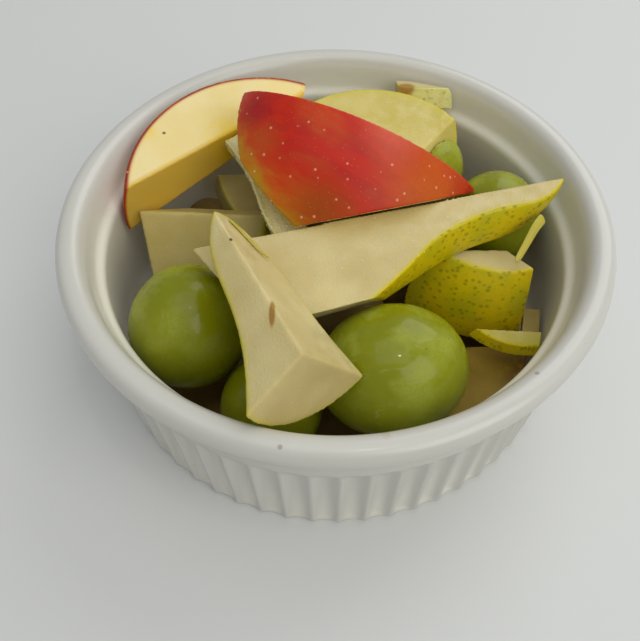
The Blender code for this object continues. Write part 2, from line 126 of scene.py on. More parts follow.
class ShaderTree:
    """A material with a Principled BSDF, and the few calls that fill its tree."""

    def __init__(self, name: str) -> None:
        """Makes the material with that name."""
        self.material = bpy.data.materials.new(name)
        self.material.use_nodes = True
        self.nodes = self.material.node_tree.nodes
        self.links = self.material.node_tree.links
        self.bsdf = self.nodes["Principled BSDF"]
        self.place = Val(self, self.node("ShaderNodeTexCoord").outputs["Object"])

    def node(self, kind: str, settings: dict[str, Any] | None = None,
             values: dict[Any, Any] | None = None) -> bpy.types.Node:
        """Adds one node.

        Args:
            kind: the node's type.
            settings: properties of the node, set first.
            values: socket name or number to a value, a Val or a socket to link.
        Returns:
            The node.
        """
        node = self.nodes.new(kind)
        for key, setting in (settings or {}).items():
            setattr(node, key, setting)
        self.feed(node, values or {})
        return node

    def feed(self, node: bpy.types.Node, values: dict[Any, Any]) -> None:
        """Sets or links the sockets of a node."""
        for key, value in values.items():
            socket = node.inputs[key]
            if isinstance(value, Val):
                self.links.new(value.socket, socket)
            elif isinstance(value, bpy.types.NodeSocket):
                self.links.new(value, socket)
            elif isinstance(value, tuple) and socket.type == "RGBA" and len(value) == 3:
                socket.default_value = (*value, 1.0)
            else:
                socket.default_value = value

    def attribute(self, name: str) -> bpy.types.Node:
        """The Attribute node of a per-vertex value."""
        return self.node("ShaderNodeAttribute", {"attribute_name": name})

    def number(self, name: str) -> Val:
        """A per-vertex number."""
        return Val(self, self.attribute(name).outputs["Fac"])

    def vector(self, name: str) -> Val:
        """A per-vertex vector."""
        return Val(self, self.attribute(name).outputs["Vector"])

    def scaled(self, vector: Val, scale: Triple, shift: Triple = (0.0, 0.0, 0.0)) -> Val:
        """The vector times a scale for each axis, then moved.

        Args:
            vector: the vector.
            scale: factor for each axis.
            shift: what is added afterwards.
        Returns:
            The new vector.
        """
        node = self.node("ShaderNodeVectorMath", {"operation": "MULTIPLY_ADD"},
                         {0: vector, 1: scale, 2: shift})
        return Val(self, node.outputs["Vector"])

    def noise(self, vector: Val, scale: float, detail: float = 3.0, rough: float = 0.5) -> Val:
        """Fractal noise around 0.5.

        Args:
            vector: where it is read.
            scale: its frequency.
            detail: octaves.
            rough: weight of the finer octaves.
        Returns:
            The noise.
        """
        node = self.node("ShaderNodeTexNoise", None,
                         {"Vector": vector, "Scale": scale, "Detail": detail, "Roughness": rough})
        return Val(self, node.outputs[0])

    def dots(self, vector: Val, scale: float, low: float, high: float, spread: float = 1.0) -> Val:
        """Soft round dots, one to a cell.

        Args:
            vector: where they are read.
            scale: cells per unit.
            low: radius at which a dot is still full, in cells.
            high: radius at which it is gone.
            spread: how far the cells stray from a grid.
        Returns:
            1 in a dot, 0 between.
        """
        node = self.node("ShaderNodeTexVoronoi", {"feature": "F1"},
                         {"Vector": vector, "Scale": scale, "Randomness": spread})
        size = self.node("ShaderNodeSeparateColor", None, {0: node.outputs["Color"]})
        near = Val(self, node.outputs["Distance"])
        return (near - Val(self, size.outputs[0]) * (0.6 * low)).step(high, low)

    def mix(self, share: Any, first: Any, second: Any) -> Val:
        """A blend of two colours.

        Args:
            share: how much of the second shows.
            first: colour or link.
            second: colour or link.
        Returns:
            The colour.
        """
        node = self.node("ShaderNodeMix", {"data_type": "RGBA"},
                         {0: share, 6: first, 7: second})
        return Val(self, node.outputs[2])

    def near(self, point: Triple, radius: float, soft: float = 0.5,
             stretch: Triple = (1.0, 1.0, 1.0)) -> Val:
        """A round mask about a point of the object.

        Args:
            point: the centre, in millimetres.
            radius: where the mask is gone, in millimetres.
            soft: share of the radius over which it fades.
            stretch: factor for each axis; a larger one makes the mask narrower along it.
        Returns:
            1 at the centre, 0 outside.
        """
        inside = self.scaled(self.place, tuple(1000.0 * s for s in stretch),
                             tuple(-p * s for p, s in zip(point, stretch)))
        node = self.node("ShaderNodeVectorMath", {"operation": "LENGTH"}, {0: inside})
        return Val(self, node.outputs["Value"]).step(radius, radius * (1.0 - soft))

    def bump(self, height: Val, strength: float, distance: float) -> bpy.types.NodeSocket:
        """A Bump node.

        Args:
            height: the height, 0 to 1.
            strength: share of the effect.
            distance: height of 1, in millimetres.
        Returns:
            The normal.
        """
        node = self.node("ShaderNodeBump", None,
                         {"Height": height, "Strength": strength, "Distance": distance * MM})
        return node.outputs["Normal"]


# Finishes


@dataclass(frozen=True)
class GlazeFinish:
    """White ceramic glaze, greyer outside and painted lighter and yellower inside as bounce light, with
    specks and a drip of juice.
    """

    base: Triple = (0.63, 0.63, 0.575)
    warm: Triple = (0.59, 0.58, 0.51)
    # painted bounce light: the lighter, yellower colour of the inside of the bowl
    inside: Triple = (0.85, 0.84, 0.74)
    lit_inside_from: float = 53.0
    lit_inside_full: float = 51.5
    speck: Triple = (0.20, 0.16, 0.10)
    juice: Triple = (0.42, 0.30, 0.12)
    roughness: float = 0.30
    coat: float = 0.3
    specks: tuple[tuple[Triple, float], ...] = (
        ((-9.84, -55.42, 41.35), 0.6), ((34.69, -41.47, 41.30), 0.6))
    juices: tuple[tuple[Triple, float], ...] = (((7.63, -52.96, 40.95), 1.6),)

    def make(self) -> bpy.types.Material:
        """Builds the material."""
        t = ShaderTree("glaze")
        cloud = t.noise(t.place, 28.0, 2.0)
        color = t.mix(cloud.step(0.35, 0.75) * 0.5, self.base, self.warm)
        # painted light: inward of the set radius the glaze is painted lighter and yellower, as bounce
        # light inside the bowl
        out = t.node("ShaderNodeVectorMath", {"operation": "LENGTH"},
                     {0: t.scaled(t.place, (1000.0, 1000.0, 0.0))})
        color = t.mix(Val(t, out.outputs["Value"]).step(self.lit_inside_from, self.lit_inside_full),
                      color, self.inside)
        for point, radius in self.specks:
            color = t.mix(t.near(point, radius, 0.6) * 0.55, color, self.speck)
        ragged = t.noise(t.place, 700.0, 2.0)
        for point, radius in self.juices:
            spot = t.near(point, radius, 0.8, (1.6, 0.8, 0.8)) * ragged.step(0.35, 0.6)
            color = t.mix(spot * 0.45, color, self.juice)
        freckle = t.dots(t.place, 90.0, 0.012, 0.028)
        color = t.mix(freckle * 0.35, color, self.speck)
        ripple = t.noise(t.place, 120.0, 2.0) * 0.8 + t.noise(t.place, 900.0, 1.0) * 0.2
        t.feed(t.bsdf, {"Base Color": color, "Roughness": self.roughness, "IOR": 1.5,
                        "Coat Weight": self.coat, "Coat Roughness": 0.12,
                        "Normal": t.bump(ripple, 0.35, 0.25)})
        return t.material


@dataclass(frozen=True)
class PearFinish:
    """Pear: dotted peel, a green-yellow margin below it, and moist grainy cream flesh."""

    name: str = "pear"
    peel: Triple = (0.72, 0.56, 0.002)
    peel_green: Triple = (0.56, 0.50, 0.004)
    peel_ripe: Triple = (0.52, 0.42, 0.02)
    dot: Triple = (0.17, 0.16, 0.002)
    margin: Triple = (0.62, 0.55, 0.06)
    flesh: Triple = (0.61, 0.50, 0.215)
    flesh_pale: Triple = (0.70, 0.60, 0.29)
    shade: Triple = (0.60, 0.47, 0.16)
    # colour of browned cut faces, which is also painted shade on faces in shadow
    stain_and_shade: Triple = (0.46, 0.31, 0.05)
    brown: Triple = (0.36, 0.16, 0.015)
    black: Triple = (0.02, 0.015, 0.008)
    peel_depth: float = 0.30
    margin_depth: float = 1.5
    wet: float = 0.40
    grain: float = 0.15
    dotting: float = 0.50
    spots: tuple[tuple[Triple, float, Triple], ...] = ()
    specks: tuple[tuple[Triple, float], ...] = ()

    def make(self) -> bpy.types.Material:
        """Builds the material."""
        t = ShaderTree(self.name)
        fruit, deep = t.vector("fruit"), t.number("depth")
        cloud = t.noise(fruit, 0.09, 3.0)
        fine = t.noise(fruit, 1.6, 3.0, 0.6)
        deep = deep + (fine - 0.5) * 0.12
        peel = t.mix(cloud.step(0.42, 0.62), self.peel, self.peel_green)
        peel = t.mix(t.noise(fruit, 0.5, 2.0).step(0.45, 0.8) * 0.35, peel, self.peel_ripe)
        dots = t.dots(t.scaled(fruit, (1.0, 1.0, 0.8)), 0.80, 0.13, 0.38)
        peel = t.mix(dots * self.dotting, peel, self.dot)
        peel = t.mix(t.dots(fruit, 1.5, 0.08, 0.28) * (0.4 * self.dotting), peel, self.dot)
        rings = t.noise(fruit, 0.10, 2.0)
        flesh = t.mix(rings.step(0.28, 0.74), self.flesh, self.flesh_pale)
        flesh = t.mix(fine.step(0.50, 0.85) * 0.14, flesh, self.shade)
        flesh = t.mix(t.dots(fruit, 0.30, 0.03, 0.075) * 0.16, flesh, self.shade)
        ragged = deep + (t.noise(fruit, 0.8, 3.0, 0.6) - 0.5) * (1.1 * self.margin_depth)
        under = ragged.step(self.margin_depth, self.peel_depth)
        flesh = t.mix(under * 0.60, flesh, self.margin)
        # browning with painted shade: marked cut faces take the darker, saturated colour of flesh in
        # shadow
        flesh = t.mix(t.number("stain_and_shade") * 0.55, flesh, self.stain_and_shade)
        skin = deep.step(self.peel_depth * 1.45, self.peel_depth * 0.8)
        color = t.mix(skin, flesh, peel)
        for point, radius, stretch in self.spots:
            color = t.mix(t.near(point, radius, 0.45, stretch) * 0.85, color, self.brown)
        for point, radius in self.specks:
            color = t.mix(t.near(point, radius, 0.5) * 0.9, color, self.black)
        cells = t.node("ShaderNodeTexVoronoi", {"feature": "F1"}, {"Vector": fruit, "Scale": 2.6})
        grain = Val(t, cells.outputs["Distance"]) * 0.6 + fine * 0.6
        height = (1.0 - skin) * grain + skin * (t.noise(fruit, 0.8, 3.0) * 0.5 - dots * 0.15)
        damp = t.noise(fruit, 0.35, 2.0).step(0.42, 0.62)
        rough = (1.0 - skin) * (0.56 - damp * 0.20) + skin * 0.40
        t.feed(t.bsdf, {"Base Color": color, "Roughness": rough, "IOR": 1.38,
                        "Specular IOR Level": 0.32,
                        "Subsurface Weight": 0.16, "Subsurface Radius": (1.0, 0.6, 0.25),
                        "Subsurface Scale": 1.6 * MM,
                        "Coat Weight": damp * self.wet, "Coat Roughness": 0.12,
                        "Normal": t.bump(height, 0.55, self.grain)})
        return t.material


@dataclass(frozen=True)
class AppleFinish:
    """Red apple: streaked peel with pale pores, a pink line below it, and smooth cream flesh."""

    name: str = "apple"
    red: Triple = (0.58, 0.020, 0.005)
    red_deep: Triple = (0.46, 0.012, 0.008)
    blush: Triple = (0.64, 0.10, 0.006)
    yellow: Triple = (0.50, 0.27, 0.008)
    pore: Triple = (0.90, 0.40, 0.24)
    margin: Triple = (0.86, 0.62, 0.22)
    flesh: Triple = (0.93, 0.76, 0.33)
    flesh_pale: Triple = (0.96, 0.81, 0.42)
    # colour of browned cut faces, which is also painted shade on faces in shadow
    stain_and_shade: Triple = (0.62, 0.36, 0.035)
    grainy: Triple = (0.80, 0.58, 0.20)
    brown: Triple = (0.30, 0.14, 0.02)
    black: Triple = (0.10, 0.05, 0.02)
    peel_depth: float = 0.22
    pore_scale: float = 0.38
    shine: float = 0.18
    skin_fade: float = 1.5
    yellow_edge: tuple[Triple, Triple, float] | None = None
    blush_sheen_and_shade: tuple[tuple[Triple, float, Triple, float], ...] = ()
    bruises_and_shade: tuple[tuple[Triple, float, float], ...] = ()
    specks: tuple[tuple[Triple, float], ...] = ()

    def make(self) -> bpy.types.Material:
        """Builds the material."""
        t = ShaderTree(self.name)
        fruit, deep = t.vector("fruit"), t.number("depth")
        fine = t.noise(fruit, 1.3, 3.0, 0.6)
        deep = deep + (fine - 0.5) * 0.10
        streak = t.noise(t.scaled(fruit, (0.34, 0.34, 0.035)), 1.0, 4.0, 0.6)
        cloud = t.noise(fruit, 0.07, 2.0)
        peel = t.mix(streak.step(0.40, 0.66), self.red, self.red_deep)
        peel = t.mix((streak * 0.5 + cloud * 0.6).step(0.52, 0.72) * 0.55, peel, self.blush)
        if self.yellow_edge is not None:
            point, normal, width = self.yellow_edge
            turned = t.node("ShaderNodeVectorMath", {"operation": "DOT_PRODUCT"},
                            {0: t.scaled(t.place, (1000.0,) * 3, tuple(-c for c in point)), 1: normal})
            edge = Val(t, turned.outputs["Value"]) + (streak - 0.5) * (0.9 * width)
            peel = t.mix(edge.step(-width, 0.0) * 0.85, peel, self.blush)
            peel = t.mix(edge.step(-0.45 * width, 0.0) * 0.95, peel, self.yellow)
        # tints: the apple's own blush, and also painted sheen and painted shade at set places
        for point, radius, tint, share in self.blush_sheen_and_shade:
            soft = t.near(point, radius, 1.0) * (0.65 + t.noise(fruit, 0.6, 4.0, 0.7) * 0.7)
            peel = t.mix((soft * share).clamp(), peel, tint)
        peel = t.mix(t.dots(fruit, self.pore_scale, 0.05, 0.14) * 0.70, peel, self.pore)
        peel = t.mix(t.dots(fruit, 2.4 * self.pore_scale, 0.05, 0.16) * 0.14, peel, self.pore)
        flesh = t.mix(t.noise(fruit, 0.12, 2.0).step(0.35, 0.7), self.flesh, self.flesh_pale)
        flesh = t.mix(fine.step(0.5, 0.8) * 0.12, flesh, self.grainy)
        under = deep.step(1.8, self.peel_depth)
        flesh = t.mix(under * under * 0.5, flesh, self.margin)
        # browning with painted shade: marked cut faces take the darker, saturated colour of flesh in
        # shadow
        flesh = t.mix(t.number("stain_and_shade") * 0.85, flesh, self.stain_and_shade)
        # bruises: real browning, and also painted shade where the flesh lies in shadow
        for point, radius, share in self.bruises_and_shade:
            ragged = t.near(point, radius, 1.0) * t.noise(fruit, 0.5, 2.0).step(0.15, 0.6)
            flesh = t.mix(ragged * share, flesh, self.brown)
        skin = deep.step(self.peel_depth * self.skin_fade, self.peel_depth * 0.6)
        color = t.mix(skin, flesh, peel)
        for point, radius in self.specks:
            color = t.mix(t.near(point, radius, 0.5) * 0.85, color, self.black)
        height = (1.0 - skin) * fine + skin * t.noise(fruit, 0.5, 2.0) * 0.7
        rough = (1.0 - skin) * (0.50 + fine * 0.12) + skin * (0.40 + streak * 0.12)
        t.feed(t.bsdf, {"Base Color": color, "Roughness": rough, "IOR": 1.42,
                        "Subsurface Weight": 0.14, "Subsurface Radius": (1.0, 0.5, 0.2),
                        "Subsurface Scale": 1.6 * MM,
                        "Specular IOR Level": self.shine, "Coat Weight": skin * 0.12 + 0.06,
                        "Coat Roughness": 0.3,
                        "Normal": t.bump(height, 0.5, 0.10)})
        return t.material


@dataclass(frozen=True)
class GrapeFinish:
    """Green grape: clear skin over juicy flesh, a patchy dusty bloom mostly on the top, faint veins and
    scars, and painted light that makes the top lighter.
    """

    name: str = "grape"
    green: Triple = (0.205, 0.225, 0.0004)
    light: Triple = (0.255, 0.275, 0.0008)
    bloom: Triple = (0.44, 0.50, 0.10)
    scar: Triple = (0.50, 0.50, 0.22)
    pit: Triple = (0.06, 0.05, 0.01)
    bloom_share: float = 0.62
    lit_crown: float = 24.0
    painted_top_light: Triple = (0.34, 0.37, 0.006)

    def make(self) -> bpy.types.Material:
        """Builds the material."""
        t = ShaderTree(self.name)
        fruit = t.vector("fruit")
        cloud = t.noise(fruit, 0.10, 2.0)
        veins = t.noise(t.scaled(fruit, (0.30, 0.30, 0.05)), 1.0, 2.0, 0.5)
        color = t.mix((cloud * 0.75 + veins * 0.25).step(0.36, 0.66), self.green, self.light)
        patch = t.noise(fruit, 0.13, 3.0, 0.6).step(0.44, 0.68)
        dusty = t.noise(fruit, 1.8, 3.0, 0.7).step(0.35, 0.7)
        height = t.node("ShaderNodeSeparateXYZ", None, {0: t.scaled(t.place, (1000.0,) * 3)})
        # painted light: above the set height the grapes are painted lighter, as on their lit tops
        top = Val(t, height.outputs[2]).step(self.lit_crown, self.lit_crown + 11.0)
        color = t.mix(top * 0.20, color, self.painted_top_light)
        bloom = (patch * 0.85 * top + 0.06) * (0.45 + dusty * 0.55)
        color = t.mix(bloom * self.bloom_share, color, self.bloom)
        line = t.noise(t.scaled(fruit, (0.25, 0.25, 0.05), (3.0, 1.0, 2.0)), 1.0, 1.0)
        thin = (line - 0.56).step(0.014, 0.0) * (line - 0.56).step(-0.014, 0.0)
        color = t.mix(thin * t.noise(fruit, 0.2, 1.0).step(0.56, 0.64) * 0.30, color, self.scar)
        color = t.mix(t.dots(fruit, 0.22, 0.018, 0.05) * 0.7, color, self.pit)
        rough = 0.24 + bloom * 0.42
        ripple = t.noise(fruit, 0.35, 2.0) * 0.7 + dusty * bloom * 0.3
        t.feed(t.bsdf, {"Base Color": color, "Roughness": rough, "IOR": 1.4,
                        "Subsurface Weight": 0.75, "Subsurface Radius": (1.0, 0.95, 0.10),
                        "Subsurface Scale": 5.0 * MM, "Specular IOR Level": 0.22,
                        "Coat Weight": (1.0 - bloom).clamp() * 0.40, "Coat Roughness": 0.05,
                        "Normal": t.bump(ripple, 0.35, 0.25)})
        return t.material


@dataclass(frozen=True)
class DewGlintFinish:
    """Juice beads on wet flesh, pale and opaque: partly real beads, partly painted glints."""

    tint: Triple = (0.96, 0.90, 0.66)
    deeper: Triple = (0.90, 0.83, 0.55)

    def make(self) -> bpy.types.Material:
        """Builds the material."""
        t = ShaderTree("juice")
        # painted highlight: a pale cream colour, so the beads read as glints
        tone = t.mix(t.noise(t.place, 400.0, 1.0), self.tint, self.deeper)
        t.feed(t.bsdf, {"Base Color": tone, "Roughness": 0.08, "IOR": 1.36,
                        "Coat Weight": 1.0, "Coat Roughness": 0.03})
        return t.material


@dataclass(frozen=True)
class TableFinish:
    """Smooth pale table top."""

    base: Triple = (0.71, 0.725, 0.71)
    cloudy: Triple = (0.68, 0.69, 0.68)

    def make(self) -> bpy.types.Material:
        """Builds the material."""
        t = ShaderTree("table")
        cloud = t.noise(t.place, 5.0, 2.0)
        t.feed(t.bsdf, {"Base Color": t.mix(cloud * 0.3, self.base, self.cloudy),
                        "Roughness": 0.55, "IOR": 1.4})
        return t.material


# Fruit bodies


def waves(angle: np.ndarray, height: np.ndarray, seed: float) -> np.ndarray:
    """Slow swellings of a fruit's skin.

    Args:
        angle: direction about the fruit's axis.
        height: place along the axis, in millimetres.
        seed: shifts the pattern.
    Returns:
        Values of about -1 to 1.
    """
    return (0.45 * np.sin(2.0 * angle + 1.3 + seed + 0.03 * height)
            + 0.30 * np.sin(3.0 * angle - 0.07 * height + 2.0 * seed)
            + 0.25 * np.sin(5.0 * angle + 0.11 * height + 0.7 + seed))


@dataclass(frozen=True)
class Pear:
    """A pear along +Z from its calyx end; the radius is a Bernstein profile of the length."""

    length: float = 84.0
    shape: tuple[float, ...] = (0.74, 1.03, 0.79, 0.31, 0.10, 0.45, 0.40)
    swell: float = 0.12
    seed: float = 0.0
    sag: float = 0.0
    sag_from: float = 34.0
    sag_over: float = 16.0
    lift_from: float = 64.0
    lift_over: float = 18.0
    lift_share: float = 0.75

    def radius(self, z: np.ndarray) -> np.ndarray:
        """Radius at a height."""
        t = np.clip(np.asarray(z, float) / self.length, 0.0, 1.0)
        n = len(self.shape) - 1
        bern = sum(w * math.comb(n, k) * t ** k * (1.0 - t) ** (n - k)
                   for k, w in enumerate(self.shape))
        return self.length * np.sqrt(t * (1.0 - t)) * bern

    def rings(self) -> list[tuple[float, float]]:
        """(radius, height) along the profile."""
        count = 120
        heights = [self.length * (0.5 - 0.5 * math.cos(math.pi * i / count)) for i in range(count + 1)]
        return [(float(self.radius(np.array(z))), z) for z in heights]

    def bend(self, z: np.ndarray) -> np.ndarray:
        """How far the neck is bent towards +Y at a height."""
        down = np.clip((z - self.sag_from) / self.sag_over, 0.0, 1.0)
        back = np.clip((z - self.lift_from) / self.lift_over, 0.0, 1.0)
        down, back = down ** 2 * (3.0 - 2.0 * down), back ** 2 * (3.0 - 2.0 * back)
        return self.sag * down * (1.0 - self.lift_share * back)

    def swelling(self, points: np.ndarray) -> np.ndarray:
        """How far the skin stands out at these points, in millimetres."""
        return self.swell * waves(np.arctan2(points[:, 1], points[:, 0]), points[:, 2], self.seed)

    def depth(self, points: np.ndarray) -> np.ndarray:
        """Depth of these points below the skin, in millimetres."""
        z = points[:, 2]
        points = np.column_stack((points[:, 0], points[:, 1] - self.bend(z), z))
        rho = np.hypot(points[:, 0], points[:, 1])
        here = self.radius(z)
        slope = (self.radius(z + 0.2) - self.radius(z - 0.2)) / 0.4
        across = (here + self.swelling(points) - rho) / np.sqrt(1.0 + slope ** 2)
        return np.clip(np.minimum(across, np.maximum(z, 0.0) + 0.05 * rho), 0.0, 60.0)


@dataclass(frozen=True)
class Apple:
    """An apple centred on its equator, with a stem dimple above and a calyx dimple below."""

    size: float = 36.0
    swell: float = 0.15
    seed: float = 0.0
    stem_dimple: tuple[float, float] = (0.28, 0.38)
    calyx_dimple: tuple[float, float] = (0.16, 0.34)
    shoulder: float = 0.04

    def reach(self, angle: np.ndarray) -> np.ndarray:
        """Distance of the skin from the middle at an angle from the stem."""
        stem = self.stem_dimple[0] * np.exp(-(angle / self.stem_dimple[1]) ** 2)
        calyx = self.calyx_dimple[0] * np.exp(-((math.pi - angle) / self.calyx_dimple[1]) ** 2)
        return self.size * (1.0 - stem - calyx) * (1.0 + self.shoulder * np.cos(angle))

    def rings(self) -> list[tuple[float, float]]:
        """(radius, height) along the profile."""
        count = 120
        angles = [math.pi * i / count for i in range(count + 1)][::-1]
        reach = [float(self.reach(np.array(a))) for a in angles]
        return [(r * math.sin(a), r * math.cos(a)) for r, a in zip(reach, angles)]

    def swelling(self, points: np.ndarray) -> np.ndarray:
        """How far the skin stands out at these points, in millimetres."""
        return self.swell * waves(np.arctan2(points[:, 1], points[:, 0]), points[:, 2], self.seed)

    def depth(self, points: np.ndarray) -> np.ndarray:
        """Depth of these points below the skin, in millimetres."""
        away = np.linalg.norm(points, axis=1)
        angle = np.arctan2(np.hypot(points[:, 0], points[:, 1]), points[:, 2])
        return np.clip(self.reach(angle) + self.swelling(points) - away, 0.0, 60.0)


@dataclass(frozen=True)
class Grape:
    """A grape along Z: an ellipsoid with slightly flattened flanks."""

    half_length: float = 14.0
    half_width: float = 12.0
    swell: float = 0.10
    seed: float = 0.0

    def rings(self) -> list[tuple[float, float]]:
        """(radius, height) along the profile."""
        count = 90
        angles = [math.pi * i / count for i in range(count + 1)]
        return [(self.half_width * math.sin(a), -self.half_length * math.cos(a)) for a in angles]

    def swelling(self, points: np.ndarray) -> np.ndarray:
        """How far the skin stands out at these points, in millimetres."""
        return self.swell * waves(np.arctan2(points[:, 1], points[:, 0]), points[:, 2], self.seed)

    def depth(self, points: np.ndarray) -> np.ndarray:
        """Depth of these points below the skin, in millimetres."""
        scale = np.array([self.half_width, self.half_width, self.half_length])
        return np.clip((1.0 - np.linalg.norm(points / scale, axis=1)) * self.half_width, 0.0, 60.0)


Fruit = Pear | Apple | Grape


# Knife work


@dataclass(frozen=True)
class Cut:
    """A knife plane; it drops the side that its normal points to, and its face may be browned and
    darkened by painted shade.
    """

    point: Triple
    normal: Triple
    browned_and_shaded: float = 0.0


UP, DOWN = (0.0, 0.0, 1.0), (0.0, 0.0, -1.0)


def through(a: Triple, b: Triple, c: Triple, inside: Triple, browned_and_shaded: float = 0.0) -> Cut:
    """The cut through three points that keeps a fourth.

    Args:
        a: first point of the plane.
        b: second point.
        c: third point.
        inside: a point that stays.
        browned_and_shaded: how browned the face is, with painted shade where the face lies in shadow.
    Returns:
        The cut.
    """
    first, normal = Vector(a), (Vector(b) - Vector(a)).cross(Vector(c) - Vector(a)).normalized()
    if normal.dot(Vector(inside) - first) > 0.0:
        normal = -normal
    return Cut(tuple(first), tuple(normal), browned_and_shaded)


def beside(cut: Cut, gap: float) -> Cut:
    """The cut seen from its other side, moved off by the gap."""
    normal = Vector(cut.normal).normalized()
    return Cut(tuple(Vector(cut.point) + normal * gap), tuple(-normal))


def between(low: float, high: float) -> tuple[Cut, Cut]:
    """Two cuts across a fruit that keep what lies between these heights."""
    return Cut((0.0, 0.0, high), UP), Cut((0.0, 0.0, low), DOWN)


def revolve(rings: Sequence[tuple[float, float]], around: int) -> bmesh.types.BMesh:
    """A closed solid about Z.

    Args:
        rings: (radius, height) points; the first and last lie on the axis.
        around: steps round the axis.
    Returns:
        The mesh.
    """
    bm = bmesh.new()
    first = bm.verts.new((0.0, 0.0, rings[0][1]))
    last = bm.verts.new((0.0, 0.0, rings[-1][1]))
    turn = [(math.cos(2.0 * math.pi * i / around), math.sin(2.0 * math.pi * i / around))
            for i in range(around)]
    loops = [[bm.verts.new((r * c, r * s, z)) for c, s in turn] for r, z in rings[1:-1]]
    for i in range(around):
        j = (i + 1) % around
        bm.faces.new((first, loops[0][j], loops[0][i]))
        for low, high in zip(loops, loops[1:]):
            bm.faces.new((low[i], low[j], high[j], high[i]))
        bm.faces.new((last, loops[-1][i], loops[-1][j]))
    return bm


def slice_off(bm: bmesh.types.BMesh, cut: Cut) -> None:
    """Cuts the solid, which is in millimetres, and closes the cut."""
    geometry = list(bm.verts) + list(bm.edges) + list(bm.faces)
    made = bmesh.ops.bisect_plane(bm, geom=geometry, dist=0.001, plane_co=Vector(cut.point),
                                  plane_no=Vector(cut.normal).normalized(), clear_outer=True)
    rim = [e for e in made["geom_cut"] if isinstance(e, bmesh.types.BMEdge) and e.is_boundary]
    if rim:
        bmesh.ops.holes_fill(bm, edges=rim, sides=0)


def placing(at: Triple, stem: Triple, skin: Triple) -> Matrix:
    """Where a piece lies.

    Args:
        at: the fruit's origin.
        stem: direction of the fruit's Z.
        skin: direction that the fruit's X leans to.
    Returns:
        Matrix from the fruit to the bowl, in millimetres.
    """
    z = Vector(stem).normalized()
    x = Vector(skin)
    x = (x - z * x.dot(z)).normalized()
    rot = Matrix((x, z.cross(x), z)).transposed().to_4x4()
    return Matrix.Translation(Vector(at)) @ rot


def link(mesh: bpy.types.Mesh, name: str) -> bpy.types.Object:
    """Puts a mesh in the scene as an object."""
    ob = bpy.data.objects.new(name, mesh)
    bpy.context.scene.collection.objects.link(ob)
    return ob


def shaped(bm: bmesh.types.BMesh, name: str) -> bpy.types.Object:
    """Turns a solid in millimetres into a mesh object in metres."""
    mesh = bpy.data.meshes.new(name)
    bm.to_mesh(mesh)
    bm.free()
    mesh.transform(Matrix.Scale(MM, 4))
    return link(mesh, name)


def remember(mesh: bpy.types.Mesh, place: np.ndarray, depth: np.ndarray, stain_and_shade: np.ndarray) -> None:
    """Stores what the finishes read for each vertex.

    Args:
        mesh: the mesh.
        place: place in the fruit, in millimetres.
        depth: depth below the skin, in millimetres.
        stain_and_shade: browning with painted shade on cut faces, 0 to 1.
    """
    for name, kind, key, values in (("fruit", "FLOAT_VECTOR", "vector", place),
                                    ("depth", "FLOAT", "value", depth),
                                    ("stain_and_shade", "FLOAT", "value", stain_and_shade)):
        layer = mesh.attributes.new(name, kind, "POINT")
        layer.data.foreach_set(key, values.astype(np.float32).ravel())


def baked(ob: bpy.types.Object) -> bpy.types.Object:
    """Turns an object with modifiers into a plain mesh object of the same name."""
    graph = bpy.context.evaluated_depsgraph_get()
    mesh = bpy.data.meshes.new_from_object(ob.evaluated_get(graph))
    name, old = ob.name, ob.data
    bpy.data.objects.remove(ob, do_unlink=True)
    if old.users == 0:
        bpy.data.meshes.remove(old)
    mesh.name = name
    return link(mesh, name)


def settle(ob: bpy.types.Object, material: bpy.types.Material, nodes: Sequence[str]) -> bpy.types.Object:
    """Dresses a finished piece and ties it to the frame.

    Args:
        ob: the piece.
        material: its finish.
        nodes: CAD nodes that it stands for.
    Returns:
        The piece.
    """
    ob.data.materials.clear()
    ob.data.materials.append(material)
    ob.data.polygons.foreach_set("use_smooth", [True] * len(ob.data.polygons))
    ob.data.update()
    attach(ob, "root")
    if nodes:
        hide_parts(*nodes)
    LOG.info("%s: %d faces", ob.name, len(ob.data.polygons))
    return ob


SKIN_ONLY, CUT_FADE = 0.25, 0.6
# how far the browning and painted shade reach from a marked cut face, in millimetres
STAIN_AND_SHADE_REACH = 1.2


